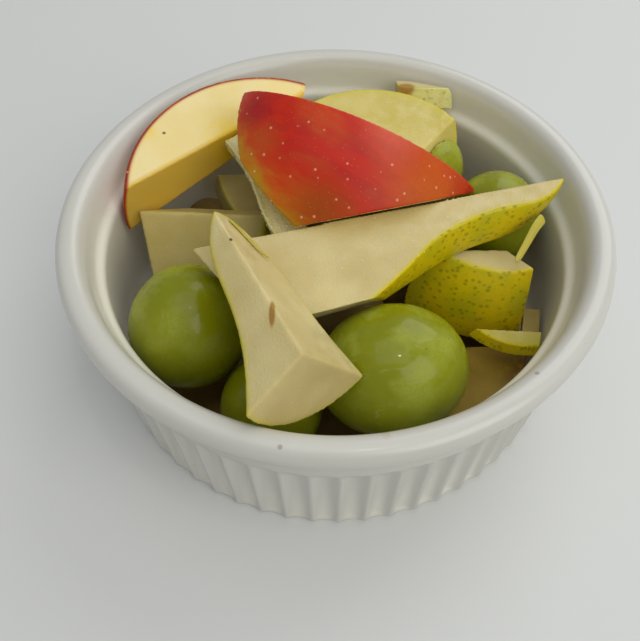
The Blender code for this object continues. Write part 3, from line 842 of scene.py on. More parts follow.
@dataclass
class Piece:
    """One cut piece of a fruit: what it is cut from, how, and how it lies."""

    name: str
    node: str
    fruit: Fruit
    at: Triple
    stem: Triple
    skin: Triple
    finish: bpy.types.Material
    slot: Slot
    fruit_cuts: tuple[Cut, ...] = ()
    bowl_cuts: tuple[Cut, ...] = ()
    voxel: float = 0.28
    around: int = 220
    waver: float = 0.05
    soft: int = 3
    seed: float = 0.0

    def solid(self) -> bmesh.types.BMesh:
        """Cuts the fruit and lays the piece in the bowl."""
        bm = revolve(self.fruit.rings(), self.around)
        points = np.array([v.co for v in bm.verts])
        rho = np.maximum(np.hypot(points[:, 0], points[:, 1]), 1e-6)
        out = self.fruit.swelling(points) * np.clip(rho / 4.0, 0.0, 1.0)
        points[:, :2] *= (1.0 + out / rho)[:, None]
        if isinstance(self.fruit, Pear):
            points[:, 1] += self.fruit.bend(points[:, 2])
        for vert, point in zip(bm.verts, points):
            vert.co = point
        for cut in self.fruit_cuts:
            slice_off(bm, cut)
        bm.transform(placing(self.at, self.stem, self.skin))
        for cut in self.bowl_cuts:
            slice_off(bm, cut)
        bmesh.ops.recalc_face_normals(bm, faces=bm.faces)
        return bm

    def build(self) -> bpy.types.Object:
        """Makes the finished piece."""
        ob = shaped(self.solid(), self.name)
        remesh = ob.modifiers.new("even", "REMESH")
        remesh.mode, remesh.voxel_size = "VOXEL", self.voxel * MM
        smooth = ob.modifiers.new("edges", "SMOOTH")
        smooth.factor, smooth.iterations = 0.5, self.soft
        ob = baked(ob)
        self.mark(ob.data)
        return settle(ob, self.finish, [self.node])

    def mark(self, mesh: bpy.types.Mesh) -> None:
        """Lets the knife stray a little, and stores what the finish reads."""
        count = len(mesh.vertices)
        co = np.zeros(count * 3)
        mesh.vertices.foreach_get("co", co)
        world = co.reshape(-1, 3) * 1000.0
        matrix = placing(self.at, self.stem, self.skin)
        back = np.array(matrix.inverted())
        local = world @ back[:3, :3].T + back[:3, 3]
        depth = self.fruit.depth(local)
        normals = np.zeros(count * 3)
        mesh.vertices.foreach_get("normal", normals)
        normals = normals.reshape(-1, 3)
        cut = np.clip((depth - SKIN_ONLY) / CUT_FADE, 0.0, 1.0)
        world = world + normals * (self.drift(world) * self.waver * cut)[:, None]
        mesh.vertices.foreach_set("co", (world / 1000.0).ravel())
        remember(mesh, local, depth, self.browning_and_shade(local, world))
        mesh.update()

    def drift(self, world: np.ndarray) -> np.ndarray:
        """How far the knife strays from its plane at these points, -1 to 1."""
        s = self.seed
        return (np.sin(world @ np.array([0.55, 0.21, 0.13]) + 2.1 + s)
                + np.sin(world @ np.array([-0.24, 0.47, 0.38]) + 0.4 + 2.0 * s)
                + 0.6 * np.sin(world @ np.array([1.1, -0.9, 0.8]) + s)) / 2.6

    def browning_and_shade(self, local: np.ndarray, world: np.ndarray) -> np.ndarray:
        """How browned the cut faces are, with painted shade on faces that lie in shadow.

        Args:
            local: the vertices in the fruit, in millimetres.
            world: the vertices in the bowl, in millimetres.
        Returns:
            The browning with painted shade, 0 to 1.
        """
        stain_and_shade = np.zeros(len(local))
        for knives, points in ((self.fruit_cuts, local), (self.bowl_cuts, world)):
            for knife in knives:
                if knife.browned_and_shaded > 0.0:
                    normal = np.array(Vector(knife.normal).normalized())
                    off = np.abs((points - np.array(knife.point)) @ normal)
                    near = knife.browned_and_shaded * np.clip(1.0 - off / STAIN_AND_SHADE_REACH, 0.0, 1.0)
                    stain_and_shade = np.maximum(stain_and_shade, near)
        return stain_and_shade


# Geometry Nodes


class GeometryTree:
    """A Geometry Nodes tree with named inputs, and the calls that fill and run it."""

    def __init__(self, name: str) -> None:
        """Makes an empty tree with a geometry input and output."""
        self.tree = bpy.data.node_groups.new(name, "GeometryNodeTree")
        face = self.tree.interface
        face.new_socket("Geometry", in_out="INPUT", socket_type="NodeSocketGeometry")
        face.new_socket("Geometry", in_out="OUTPUT", socket_type="NodeSocketGeometry")
        self.start = self.tree.nodes.new("NodeGroupInput")
        self.end = self.tree.nodes.new("NodeGroupOutput")
        self.chosen: dict[str, Any] = {}

    def size(self, name: str, value: Any, kind: str = "NodeSocketFloat") -> bpy.types.NodeSocket:
        """Adds a named input with its value.

        Args:
            name: the input's name.
            value: its value on the modifier.
            kind: its socket type.
        Returns:
            The socket inside the tree.
        """
        item = self.tree.interface.new_socket(name, in_out="INPUT", socket_type=kind)
        self.chosen[item.identifier] = value
        return self.start.outputs[name]

    def node(self, kind: str, settings: dict[str, Any] | None = None,
             values: dict[Any, Any] | None = None) -> bpy.types.Node:
        """Adds one node.

        Args:
            kind: the node's type.
            settings: properties of the node, set first.
            values: socket name or number to a value or a socket to link.
        Returns:
            The node.
        """
        node = self.tree.nodes.new(kind)
        for key, setting in (settings or {}).items():
            setattr(node, key, setting)
        for key, value in (values or {}).items():
            if isinstance(value, bpy.types.NodeSocket):
                self.tree.links.new(value, node.inputs[key])
            else:
                node.inputs[key].default_value = value
        return node

    def math(self, operation: str, *terms: Any) -> bpy.types.NodeSocket:
        """A Math node's result."""
        return self.node("ShaderNodeMath", {"operation": operation}, dict(enumerate(terms))).outputs[0]

    def run(self, ob: bpy.types.Object, geometry: bpy.types.NodeSocket,
            material: bpy.types.Material) -> bpy.types.Object:
        """Ends the tree in Realize Instances and Set Material, and applies it.

        Args:
            ob: the object that carries the modifier.
            geometry: the last geometry of the tree.
            material: the material of the result.
        Returns:
            The plain mesh object.
        """
        real = self.node("GeometryNodeRealizeInstances", None, {"Geometry": geometry})
        paint = self.node("GeometryNodeSetMaterial", None,
                          {"Geometry": real.outputs[0], "Material": material})
        self.tree.links.new(paint.outputs[0], self.end.inputs[0])
        modifier = ob.modifiers.new(self.tree.name, "NODES")
        modifier.node_group = self.tree
        for key, value in self.chosen.items():
            modifier[key] = value
        return baked(ob)


# The bowl


@dataclass
class Ramekin:
    """White fluted ramekin: its profile is swept round, and the flutes follow a rule."""

    base_radius: float = 53.2
    flute_top_radius: float = 54.6
    flute_top: float = 27.0
    flute_arch: float = 3.4
    flute_depth: float = 1.45
    flute_foot: float = 1.2
    flute_foot_share: float = 0.25
    flute_side: float = 0.15
    flute_from: float = 52.6
    weld: float = 0.004
    flute_count: int = 60
    flute_phase: float = 0.55
    around: int = 720
    under: tuple[tuple[float, float], ...] = (
        (0.0, 1.2), (30.0, 1.2), (45.6, 1.2), (46.6, 0.5), (47.2, 0.0))
    foot: tuple[tuple[float, float], ...] = ((49.5, 0.0), (52.3, 0.0), (52.9, 0.15), (53.2, 0.7))
    lip: tuple[tuple[float, float], ...] = (
        (54.45, 28.3), (54.1, 29.4), (53.95, 30.8), (54.15, 32.6), (54.6, 33.9), (55.4, 34.8),
        (56.5, 35.5), (57.4, 36.6), (57.9, 38.0), (57.95, 39.2), (57.5, 40.5), (56.6, 41.25),
        (55.4, 41.5), (54.2, 41.35), (53.2, 40.7), (52.5, 39.6), (52.1, 38.3), (51.8, 36.6),
        (51.5, 35.0), (51.2, 34.0), (50.7, 33.3), (50.1, 32.7), (49.75, 32.0), (49.6, 31.0))
    cavity: tuple[tuple[float, float], ...] = (
        (49.55, 24.0), (49.5, 14.0), (49.2, 10.0), (48.4, 7.4), (46.8, 5.6), (44.0, 4.7), (40.0, 4.6),
        (20.0, 4.6), (0.0, 4.6))

    def profile(self) -> list[tuple[float, float]]:
        """Closely spaced (radius, height) points from under the bowl to the floor inside."""
        wall = [(self.base_radius + (self.flute_top_radius - self.base_radius) * z / self.flute_top, z)
                for z in (1.6, 4.0, 9.0, 14.0, 19.0, 21.5, 22.5, 23.2, 23.9, 24.5, 25.1, 25.6, 26.1,
                          26.5, 26.85, 27.1)]
        keys = [*self.under, *self.foot, *wall, *self.lip, *self.cavity]
        path: list[tuple[float, float]] = []
        for i in range(len(keys) - 1):
            a, b = np.array(keys[max(i - 1, 0)]), np.array(keys[i])
            c, d = np.array(keys[i + 1]), np.array(keys[min(i + 2, len(keys) - 1)])
            for k in range(2):
                t = k / 2
                h = (np.linalg.norm(c - b) + 1e-9)
                ta = (c - a) / (np.linalg.norm(c - b) + np.linalg.norm(b - a) + 1e-9) * h
                tb = (d - b) / (np.linalg.norm(d - c) + np.linalg.norm(c - b) + 1e-9) * h
                p = ((2 * t ** 3 - 3 * t ** 2 + 1) * b + (t ** 3 - 2 * t ** 2 + t) * ta
                     + (-2 * t ** 3 + 3 * t ** 2) * c + (t ** 3 - t ** 2) * tb)
                path.append((max(0.0, float(p[0])), max(0.0, float(p[1]))))
        path.append(keys[-1])
        return path

    def flutes(self, g: GeometryTree, share: bpy.types.NodeSocket, radius: bpy.types.NodeSocket,
               height: bpy.types.NodeSocket) -> bpy.types.NodeSocket:
        """How deep the flutes cut in.

        Args:
            g: the tree.
            share: turn about the axis, 0 to 1.
            radius: radius of the plain profile.
            height: height of the profile.
        Returns:
            The depth.
        """
        count = g.size("Flute Count", float(self.flute_count))
        depth = g.size("Flute Depth", self.flute_depth * MM)
        top = g.size("Flute Top", self.flute_top * MM)
        arch = g.size("Flute Arch", self.flute_arch * MM)
        foot = g.size("Flute Foot", self.flute_foot * MM)
        local = g.math("FRACT", g.math("MULTIPLY", share, count))
        side = g.math("SUBTRACT", g.math("MULTIPLY", local, 2.0), 1.0)
        across = g.math("SUBTRACT", 1.0, g.math("MULTIPLY", side, side))
        rise = g.math("DIVIDE", g.math("SUBTRACT", top, height), arch)
        rise = g.math("MINIMUM", g.math("MAXIMUM", rise, 0.0), 1.0)
        left = g.math("SUBTRACT", 1.0, rise)
        arched = g.math("SUBTRACT", 1.0, g.math("MULTIPLY", left, left))
        reach = g.math("SQRT", g.math("MAXIMUM", arched, 0.0))
        width = g.math("ADD", g.math("SQRT", g.math("MAXIMUM", across, 0.0)), self.flute_side)
        closed = g.math("MINIMUM", 1.0, g.math("MULTIPLY", reach, width))
        low = g.math("MINIMUM", g.math("DIVIDE", height, foot), 1.0)
        least = self.flute_foot_share
        low = g.math("ADD", g.math("MULTIPLY", low, 1.0 - least), least)
        outer = g.math("GREATER_THAN", radius, self.flute_from * MM)
        cut = g.math("MULTIPLY", g.math("MULTIPLY", depth, across), g.math("MULTIPLY", low, closed))
        return g.math("MULTIPLY", cut, outer)

    def build(self, finish: GlazeFinish) -> bpy.types.Object:
        """Sweeps the profile round and dresses the bowl.

        Args:
            finish: the glaze.
        Returns:
            The bowl.
        """
        path = self.profile()
        mesh = bpy.data.meshes.new("ramekin")
        mesh.from_pydata([(r * MM, 0.0, z * MM) for r, z in path],
                         [(i, i + 1) for i in range(len(path) - 1)], [])
        ob = link(mesh, "ramekin")
        g = GeometryTree("ramekin_sweep")
        around = g.size("Steps Around", self.around + 1, "NodeSocketInt")
        phase = g.size("Flute Phase", math.radians(self.flute_phase) - math.pi / 2.0)
        grid = g.node("GeometryNodeMeshGrid", None,
                      {"Size X": 1.0, "Size Y": 1.0, "Vertices X": len(path), "Vertices Y": around})
        index = g.node("GeometryNodeInputIndex").outputs[0]
        row = g.math("FLOOR", g.math("DIVIDE", g.math("ADD", index, 0.5), around))
        column = g.math("SUBTRACT", index, g.math("MULTIPLY", row, around))
        share = g.math("DIVIDE", column, g.math("SUBTRACT", around, 1.0))
        where = g.node("GeometryNodeInputPosition").outputs[0]
        read = g.node("GeometryNodeSampleIndex", {"data_type": "FLOAT_VECTOR", "domain": "POINT"},
                      {"Geometry": g.start.outputs[0], "Value": where, "Index": row})
        split = g.node("ShaderNodeSeparateXYZ", None, {0: read.outputs[0]})
        radius, height = split.outputs[0], split.outputs[2]
        r = g.math("SUBTRACT", radius, self.flutes(g, share, radius, height))
        angle = g.math("ADD", g.math("MULTIPLY", share, 2.0 * math.pi), phase)
        place = g.node("ShaderNodeCombineXYZ", None,
                       {0: g.math("MULTIPLY", r, g.math("COSINE", angle)),
                        1: g.math("MULTIPLY", r, g.math("SINE", angle)), 2: height})
        moved = g.node("GeometryNodeSetPosition", None,
                       {"Geometry": grid.outputs["Mesh"], "Position": place.outputs[0]})
        merged = g.node("GeometryNodeMergeByDistance", None,
                        {"Geometry": moved.outputs[0], "Distance": self.weld * MM})
        glaze = finish.make()
        ob = g.run(ob, merged.outputs[0], glaze)
        bm = bmesh.new()
        bm.from_mesh(ob.data)
        bmesh.ops.remove_doubles(bm, verts=bm.verts, dist=self.weld * MM)
        bmesh.ops.recalc_face_normals(bm, faces=bm.faces)
        bm.to_mesh(ob.data)
        bm.free()
        return settle(ob, glaze, ["bowl"])


# The fruit


RED_TOP, RED_LEFT, RED_LOW = (-19.9, 26.6, 50.0), (-18.9, 8.6, 46.0), (-7.2, -4.2, 40.0)
RED_TIP, RED_RIDGE = (32.2, 9.1, 37.5), (1.0, 33.5, 24.0)
RED_INSIDE = (5.0, 12.0, 38.0)
RED_BACK = through(RED_TIP, RED_TOP, RED_RIDGE, RED_INSIDE)
RED_LEFT_FACE = through(RED_TOP, RED_LEFT, RED_RIDGE, RED_INSIDE)
RED_LOW_FACE = through(RED_LEFT, RED_LOW, RED_RIDGE, RED_INSIDE)
LEFT_FRONT = Cut((-24.96, 22.33, 41.48), (0.581, -0.811, -0.068))
TOP_FACET = through((28.4, 31.0, 40.0), (22.2, 22.4, 37.0), (25.6, 24.2, 34.0), (0.0, 30.0, 35.0))


@dataclass
class PearWedges:
    """The long wedge with its cut face up, and the quarter pear that leans over the front lip."""

    core: float = 4.6
    long_angle: float = 56.0
    long_thick: float = 8.6
    neck_sag: float = 6.8
    front_apex: tuple[float, float] = (1.1, 6.0)
    front_half: float = 0.86
    front_end: float = 45.75

    def build_long(self, finish: bpy.types.Material) -> bpy.types.Object:
        """Makes the long wedge."""
        a = math.radians(self.long_angle)
        return Piece(
            "long_pear", "pear_long", Pear(seed=0.3, sag=self.neck_sag), (-30.8, -6.9, 41.1),
            (0.970, 0.242, 0.009), (0.241, -0.962, -0.128), finish, Slot.PEAR,
            (Cut((0.0, 0.0, 0.0), (0.0, -1.0, 0.0)), Cut((0.0, self.long_thick, 0.0), (0.0, 1.0, 0.0)),
             Cut((self.core, 0.0, 0.0), (-math.sin(a), math.cos(a), 0.0))),
            (Cut((-28.0, -12.3, 40.0), (-0.72, -0.55, -0.42)),
             Cut((-21.6, -14.2, 33.4), (-0.68, -0.33, -0.65)),
             Cut((7.8, -18.6, 32.2), (0.26, -0.83, -0.5))), voxel=0.25, soft=8, seed=0.4).build()

    def build_front(self, finish: bpy.types.Material) -> bpy.types.Object:
        """Makes the front piece."""
        s, c = math.sin(self.front_half), math.cos(self.front_half)
        apex = (self.front_apex[0], self.front_apex[1], 0.0)
        return Piece(
            "front_pear", "pear_front", Pear(seed=1.1), (20.6, -80.75, 51.4), (-0.472, 0.882, 0.006),
            (-0.197, -0.099, -0.975), finish, Slot.PEAR,
            (Cut(apex, (-s, c, 0.0)), Cut(apex, (-s, -c, 0.0)),
             # the end facet, browned 0.25, carries painted shade, as it faces the camera in shadow
             Cut((0.0, 0.0, self.front_end), (-0.15, -0.13, -1.0), 0.25)), voxel=0.25, soft=30,
            seed=1.7).build()


@dataclass
class PearSlices:
    """The smaller pear pieces that fill the bowl around the wedges."""

    top_pear: float = 73.0
    top_from: float = 17.0
    calyx_thick: float = 4.5
    block_pear: float = 100.0
    sliver: tuple[float, float] = (44.9, 47.3)
    sector: tuple[float, float] = (12.0, 21.0)
    gap: tuple[float, float] = (26.0, 30.0)
    strip_thick: float = 3.5

    def build_top(self, finish: bpy.types.Material) -> bpy.types.Object:
        """Makes the round-backed piece behind the red wedge."""
        return Piece(
            "top_pear", "pear_top", Pear(self.top_pear, seed=2.0), (9.3, 15.6, 54.5),
            (0.0, 0.10, -0.995), (0.2, 0.97, 0.15), finish, Slot.PEAR,
            (Cut((0.0, 0.0, self.top_from), DOWN),),
            (beside(RED_BACK, 0.5), TOP_FACET, Cut((-8.4, 35.0, 35.0), (-1.0, 0.1, 0.0)),
             Cut((0.0, 0.0, 24.0), (0.0, 0.2, -1.0))), soft=8, seed=2.2).build()

    def build_calyx(self, finish: bpy.types.Material) -> bpy.types.Object:
        """Makes the calyx slab by the back wall."""
        return Piece(
            "calyx_slab", "pear_calyx", Pear(swell=0.0), (20.6, 41.5, 39.0), (0.22, 0.86, -0.47),
            (1.0, -0.2, 0.0), finish, Slot.PEAR_SKIN,
            (Cut((0.0, 0.0, self.calyx_thick), UP),),
            (Cut((16.8, 40.0, 42.0), (-1.0, -0.1, 0.0)), Cut((28.6, 36.0, 42.0), (1.0, -0.1, 0.15)),
             Cut((20.0, 40.0, 40.6), (0.0, 0.3, 1.0)), Cut((25.2, 43.7, 40.0), (0.5, 0.866, 0.0)),
             Cut((20.0, 40.0, 35.5), DOWN)), voxel=0.22, waver=0.02).build()

    def build_block(self, finish: bpy.types.Material) -> bpy.types.Object:
        """Makes the thick slab with its dotted peel to the front."""
        return Piece(
            "peel_block", "pear_block", Pear(self.block_pear, swell=0.05), (62.0, 16.8, 11.9),
            (-0.99, 0.05, 0.0), (0.0, -0.92, 0.39), finish, Slot.PEAR_SKIN, (),
            (Cut((30.0, -8.0, 31.1), (0.06, 0.10, 1.0)), Cut((42.3, -12.0, 24.0), (0.98, -0.2, 0.02)),
             Cut((30.0, -10.0, 13.8), DOWN), Cut((33.7, -2.3, 33.0), (-0.05, 0.92, -0.2)),
             Cut((38.5, -3.2, 31.4), (0.74, 0.67, 0.0)), Cut((11.0, -12.0, 24.0), (-1.0, 0.0, 0.35))),
            voxel=0.24, soft=6, seed=3.0).build()

    def build_sliver(self, finish: bpy.types.Material) -> bpy.types.Object:
        """Makes the thin slice in front of the block."""
        return Piece(
            "sliver", "pear_sliver", Pear(), (36.6, 2.6, -22.4), (0.1, -0.18, 0.98), (0.0, -1.0, 0.0),
            finish, Slot.PEAR,
            between(*self.sliver),
            (Cut((37.0, -18.6, 20.0), (0.0, 1.0, 0.0)), Cut((44.9, -19.0, 20.0), (1.0, -0.3, 0.0)),
             Cut((28.0, -19.0, 20.0), (-1.0, -0.3, 0.0))), voxel=0.2, seed=3.3).build()

    def build_midleft(self, finish: bpy.types.Material) -> bpy.types.Object:
        """Makes the cross sector at the left."""
        return Piece(
            "left_sector", "pear_midleft", Pear(seed=4.0), (-39.2, -0.1, 41.4), (-0.07, 0.715, -0.70),
            (1.0, 0.0, 0.0), finish, Slot.PEAR,
            between(*self.sector),
            (Cut((-41.0, 6.9, 32.8), (0.05, 0.62, 0.78)),
             through((-44.0, 6.0, 32.0), (-41.8, -2.6, 22.0), (-42.5, 10.0, 20.0), (0.0, 0.0, 30.0)),
             Cut((-35.0, -3.0, 21.0), (0.0, -0.3, -1.0)), beside(LEFT_FRONT, 0.5)),
            voxel=0.3, soft=30, seed=4.1).build()

    def build_behind(self, finish: bpy.types.Material) -> bpy.types.Object:
        """Makes the slice in the gap below the left apple."""
        return Piece(
            "gap_slice", "pear_behind", Pear(), (-3.0, 40.0, -0.5), (0.0, -0.3, 0.95),
            (-0.86, -0.5, 0.0), finish, Slot.PEAR,
            between(*self.gap),
            (Cut((-18.0, 20.0, 27.0), (1.0, 0.1, 0.0)), Cut((-22.0, 13.0, 27.0), (0.0, -1.0, 0.0)),
             Cut((-22.0, 26.0, 27.0), (0.0, 1.0, 0.0))), voxel=0.25, soft=14).build()

    def build_strip(self, finish: bpy.types.Material) -> bpy.types.Object:
        """Makes the wet slice beside the red wedge."""
        return Piece(
            "wet_slice", "pear_strip", Pear(swell=0.05), (-17.4, 71.1, 45.4), (0.188, -0.977, -0.1),
            (-0.977, -0.188, 0.0), finish, Slot.PEAR,
            (Cut((0.0, 0.0, 0.0), (0.0, -1.0, 0.0)), Cut((0.0, self.strip_thick, 0.0), (0.0, 1.0, 0.0))),
            (beside(RED_LOW_FACE, 0.4), beside(LEFT_FRONT, 0.5),
             Cut((-14.0, -5.5, 40.0), (0.2, -0.95, 0.3)), Cut((-6.0, 0.0, 40.0), (1.0, 0.0, 0.0))),
            voxel=0.25, waver=0.10, seed=5.0).build()

    def build_bit(self, finish: bpy.types.Material) -> bpy.types.Object:
        """Makes the offcut between the block and the wall."""
        return Piece(
            "offcut", "pear_bit", Pear(), (62.0, 9.7, 12.0), (-0.99, 0.0, 0.1), (0.0, -1.0, 0.1),
            finish, Slot.PEAR, (),
            (Cut((42.9, -12.0, 18.0), (-1.0, 0.2, 0.0)), Cut((46.9, -12.0, 18.0), (1.0, -0.2, 0.0)),
             Cut((45.0, -9.6, 18.0), (0.0, 1.0, 0.2)), Cut((45.0, -12.0, 17.2), (0.2, -0.2, 1.0)),
             Cut((45.0, -12.0, 15.3), DOWN)), voxel=0.16, soft=8).build()


@dataclass
class JuiceBeads:
    """Beads of juice on a cut face; as they stand, on the wet slice beside the red wedge."""

    name: str = "juice_beads"
    density: float = 600000.0
    small: float = 0.12
    large: float = 0.30
    low: float = 35.0
    seed: int = 7
    overhang: float = -0.35
    flatness: float = 0.6

    def build(self, piece: bpy.types.Object, finish: bpy.types.Material) -> bpy.types.Object:
        """Scatters the beads.

        Args:
            piece: the wet piece.
            finish: the juice.
        Returns:
            The beads.
        """
        ob = link(piece.data.copy(), self.name)
        g = GeometryTree(self.name)
        density = g.size("Density", self.density)
        small, large = g.size("Smallest", self.small), g.size("Largest", self.large)
        low, seed = g.size("Lowest", self.low * MM), g.size("Seed", self.seed, "NodeSocketInt")
        place, normal = (g.node(kind).outputs[0] for kind in (
            "GeometryNodeInputPosition", "GeometryNodeInputNormal"))
        split = g.node("ShaderNodeSeparateXYZ", None, {0: place})
        lean = g.node("ShaderNodeSeparateXYZ", None, {0: normal})
        high = g.math("GREATER_THAN", split.outputs[2], low)
        facing = g.math("GREATER_THAN", lean.outputs[2], self.overhang)
        points = g.node("GeometryNodeDistributePointsOnFaces", None,
                        {"Mesh": g.start.outputs[0], "Selection": g.math("MULTIPLY", high, facing),
                         "Density": density, "Seed": seed})
        bead = g.node("GeometryNodeMeshIcoSphere", None, {"Radius": MM, "Subdivisions": 2})
        size = g.node("FunctionNodeRandomValue", {"data_type": "FLOAT"}, {2: small, 3: large, 8: seed})
        wide = size.outputs[1]
        flat = g.node("ShaderNodeCombineXYZ", None,
                      {0: wide, 1: wide, 2: g.math("MULTIPLY", wide, self.flatness)})
        placed = g.node("GeometryNodeInstanceOnPoints", None,
                        {"Points": points.outputs["Points"], "Instance": bead.outputs["Mesh"],
                         "Rotation": points.outputs["Rotation"], "Scale": flat.outputs[0]})
        return settle(g.run(ob, placed.outputs[0], finish), finish, [])


@dataclass
class ApplePieces:
    """The slab at the left, the red wedge and the chunk by the right wall."""

    big: float = 36.0
    middle: float = 31.4
    small: float = 29.5
    slab_top: float = 12.75
    slab_low: float = 4.7
    slab_front: float = 14.0
    rim_planes: tuple[tuple[float, float], ...] = ((134.0, 0.5), (148.0, 0.5), (162.0, 0.2))
    rim_reach: float = 49.1

    def build_left(self, finish: bpy.types.Material) -> bpy.types.Object:
        """Makes the slab across an apple, shaved where it leans on the rim."""
        shaved = []
        for turn, lean in self.rim_planes:
            x, y = math.cos(math.radians(turn)), math.sin(math.radians(turn))
            shaved.append(Cut((self.rim_reach * x, self.rim_reach * y, 33.5), (x, y, -lean)))
        return Piece(
            "left_apple", "apple_left", Apple(self.middle, swell=0.08, seed=0.5), (-17.04, 13.64, 26.65),
            (0.018, -0.192, 0.981), (-0.582, 0.796, 0.166), finish, Slot.APPLE_FLESH,
            (Cut((0.0, 0.0, self.slab_top), UP),
             Cut((self.slab_front, 0.0, self.slab_low), (0.45, -0.142, -1.0)),
             # browned 1.0 on this front face: browning and painted shade, the saturated ochre of a face
             # in shadow
             Cut((self.slab_front, 0.0, self.slab_top), (-1.0, 0.0, 0.1), 1.0)),
            (*shaved, Cut((-6.3, 40.0, 44.0), (0.96, 0.0, -0.5), 0.7)), voxel=0.28, soft=5,
            seed=0.9).build()

    def build_red(self, finish: bpy.types.Material) -> bpy.types.Object:
        """Makes the wedge that shows its skin."""
        low = through((-7.5, -5.4, 40.7), (31.0, 4.4, 40.8), (1.0, 24.5, 12.0), RED_INSIDE)
        return Piece(
            "red_apple", "apple_red", Apple(self.big, seed=1.5), (2.2, 22.1, 21.5), (-0.85, 0.40, 0.33),
            (0.0, -0.5, 0.87), finish, Slot.APPLE_SKIN, (),
            (RED_BACK, RED_LEFT_FACE, RED_LOW_FACE, low, Cut((31.9, 11.2, 36.2), (0.55, -0.1, -0.83))),
            voxel=0.3, seed=1.2).build()

    def build_chunk(self, finish: bpy.types.Material) -> bpy.types.Object:
        """Makes the chunk by the wall."""
        return Piece(
            "apple_chunk_dressed", "apple_chunk", Apple(self.small, seed=2.5), (15.6, -10.7, 8.0),
            (0.1, 0.1, 1.0), (1.0, -0.4, 0.0), finish, Slot.APPLE_FLESH, (),
            # browned 0.6 on the top face: browning with painted shade
            (Cut((36.0, -26.0, 14.0), (-0.06, -0.05, 1.0), 0.6), Cut((36.0, -26.0, 9.4), DOWN),
             Cut((22.5, -30.0, 12.0), (-1.0, 0.0, 0.2)), Cut((36.0, -17.5, 12.0), (0.0, 1.0, 0.0))),
            voxel=0.3, soft=8, seed=2.2).build()


@dataclass
class Grapes:
    """The whole grapes and the one that shows as a strip at the back."""

    rows: tuple[tuple[str, str, Triple, float, float, Triple, float], ...] = (
        ("left_grape", "grape_left", (-31.0, -18.9, 24.3), 13.6, 12.8, (0.2, 0.3, 0.9), 0.2),
        ("front_grape", "grape_front", (11.4, -30.6, 25.0), 15.4, 13.6, (1.0, 0.1, 0.1), 1.4),
        ("right_grape", "grape_right", (37.7, 10.1, 27.4), 10.8, 10.2, (0.2, 0.9, 0.3), 2.6),
        ("deep_grape", "grape_deep", (-13.4, -33.9, 16.5), 11.2, 10.8, (0.2, 0.9, 0.3), 3.1),
        ("back_grape", "grape_back", (24.2, 24.3, 29.6), 9.5, 7.6, (0.1, 0.9, 0.3), 4.4))

    def build(self, finish: bpy.types.Material) -> list[bpy.types.Object]:
        """Makes the grapes.

        Args:
            finish: their material.
        Returns:
            The grapes.
        """
        made = []
        for name, node, at, long, wide, axis, seed in self.rows:
            cuts = (beside(TOP_FACET, 0.5), beside(RED_BACK, 0.5)) if node == "grape_back" else ()
            made.append(Piece(
                name, node, Grape(long, wide, seed=seed), at, axis, (axis[1], -axis[0], 0.01), finish,
                Slot.GRAPE_SKIN, (), cuts, voxel=0.4, around=160, waver=0.0).build())
        return made


@dataclass
class PeelStrip:
    """A strip of peel along a line; as it stands, the strand that hangs at the right."""

    name: str = "peel_strand"
    nodes: tuple[str, ...] = ("pear_strand",)
    points: tuple[Triple, ...] = (
        (45.0, 0.4, 37.0), (44.0, -1.0, 37.6), (42.4, -3.0, 37.2), (41.0, -5.2, 36.0),
        (39.4, -7.6, 34.9), (37.8, -10.0, 34.2))
    width: float = 2.6
    thick: float = 0.9
    facing: Triple = (0.3, -0.6, 0.75)
    taper: float = 0.45
    edge: float = 0.3

    def build(self, finish: bpy.types.Material) -> bpy.types.Object:
        """Makes the strip.

        Args:
            finish: its material.
        Returns:
            The strip.
        """
        bm = bmesh.new()
        sections = []
        for i, point in enumerate(self.points):
            ahead = Vector(self.points[min(i + 1, len(self.points) - 1)])
            behind = Vector(self.points[max(i - 1, 0)])
            along = (ahead - behind).normalized()
            across = along.cross(Vector(self.facing)).normalized()
            up = across.cross(along)
            w = 0.5 * self.width * (1.0 - self.taper * i / (len(self.points) - 1))
            t = 0.5 * self.thick
            e = self.edge * t
            ring = ((-w, -e), (0.0, -t), (w, -e), (w, e), (0.0, t), (-w, e))
            sections.append([bm.verts.new(Vector(point) + across * a + up * b) for a, b in ring])
        for low, high in zip(sections, sections[1:]):
            for i in range(6):
                j = (i + 1) % 6
                bm.faces.new((low[i], low[j], high[j], high[i]))
        bm.faces.new(sections[0][::-1])
        bm.faces.new(sections[-1])
        bmesh.ops.recalc_face_normals(bm, faces=bm.faces)
        ob = shaped(bm, self.name)
        rounding = ob.modifiers.new("round", "SUBSURF")
        rounding.levels = rounding.render_levels = 3
        ob = baked(ob)
        co = np.array([v.co for v in ob.data.vertices]) * 1000.0
        normals = np.array([v.normal for v in ob.data.vertices])
        facing = normals @ np.array(Vector(self.facing).normalized())
        remember(ob.data, co, np.clip(1.6 * facing + 0.2, 0.0, 3.0), np.zeros(len(co)))
        return settle(ob, finish, self.nodes)


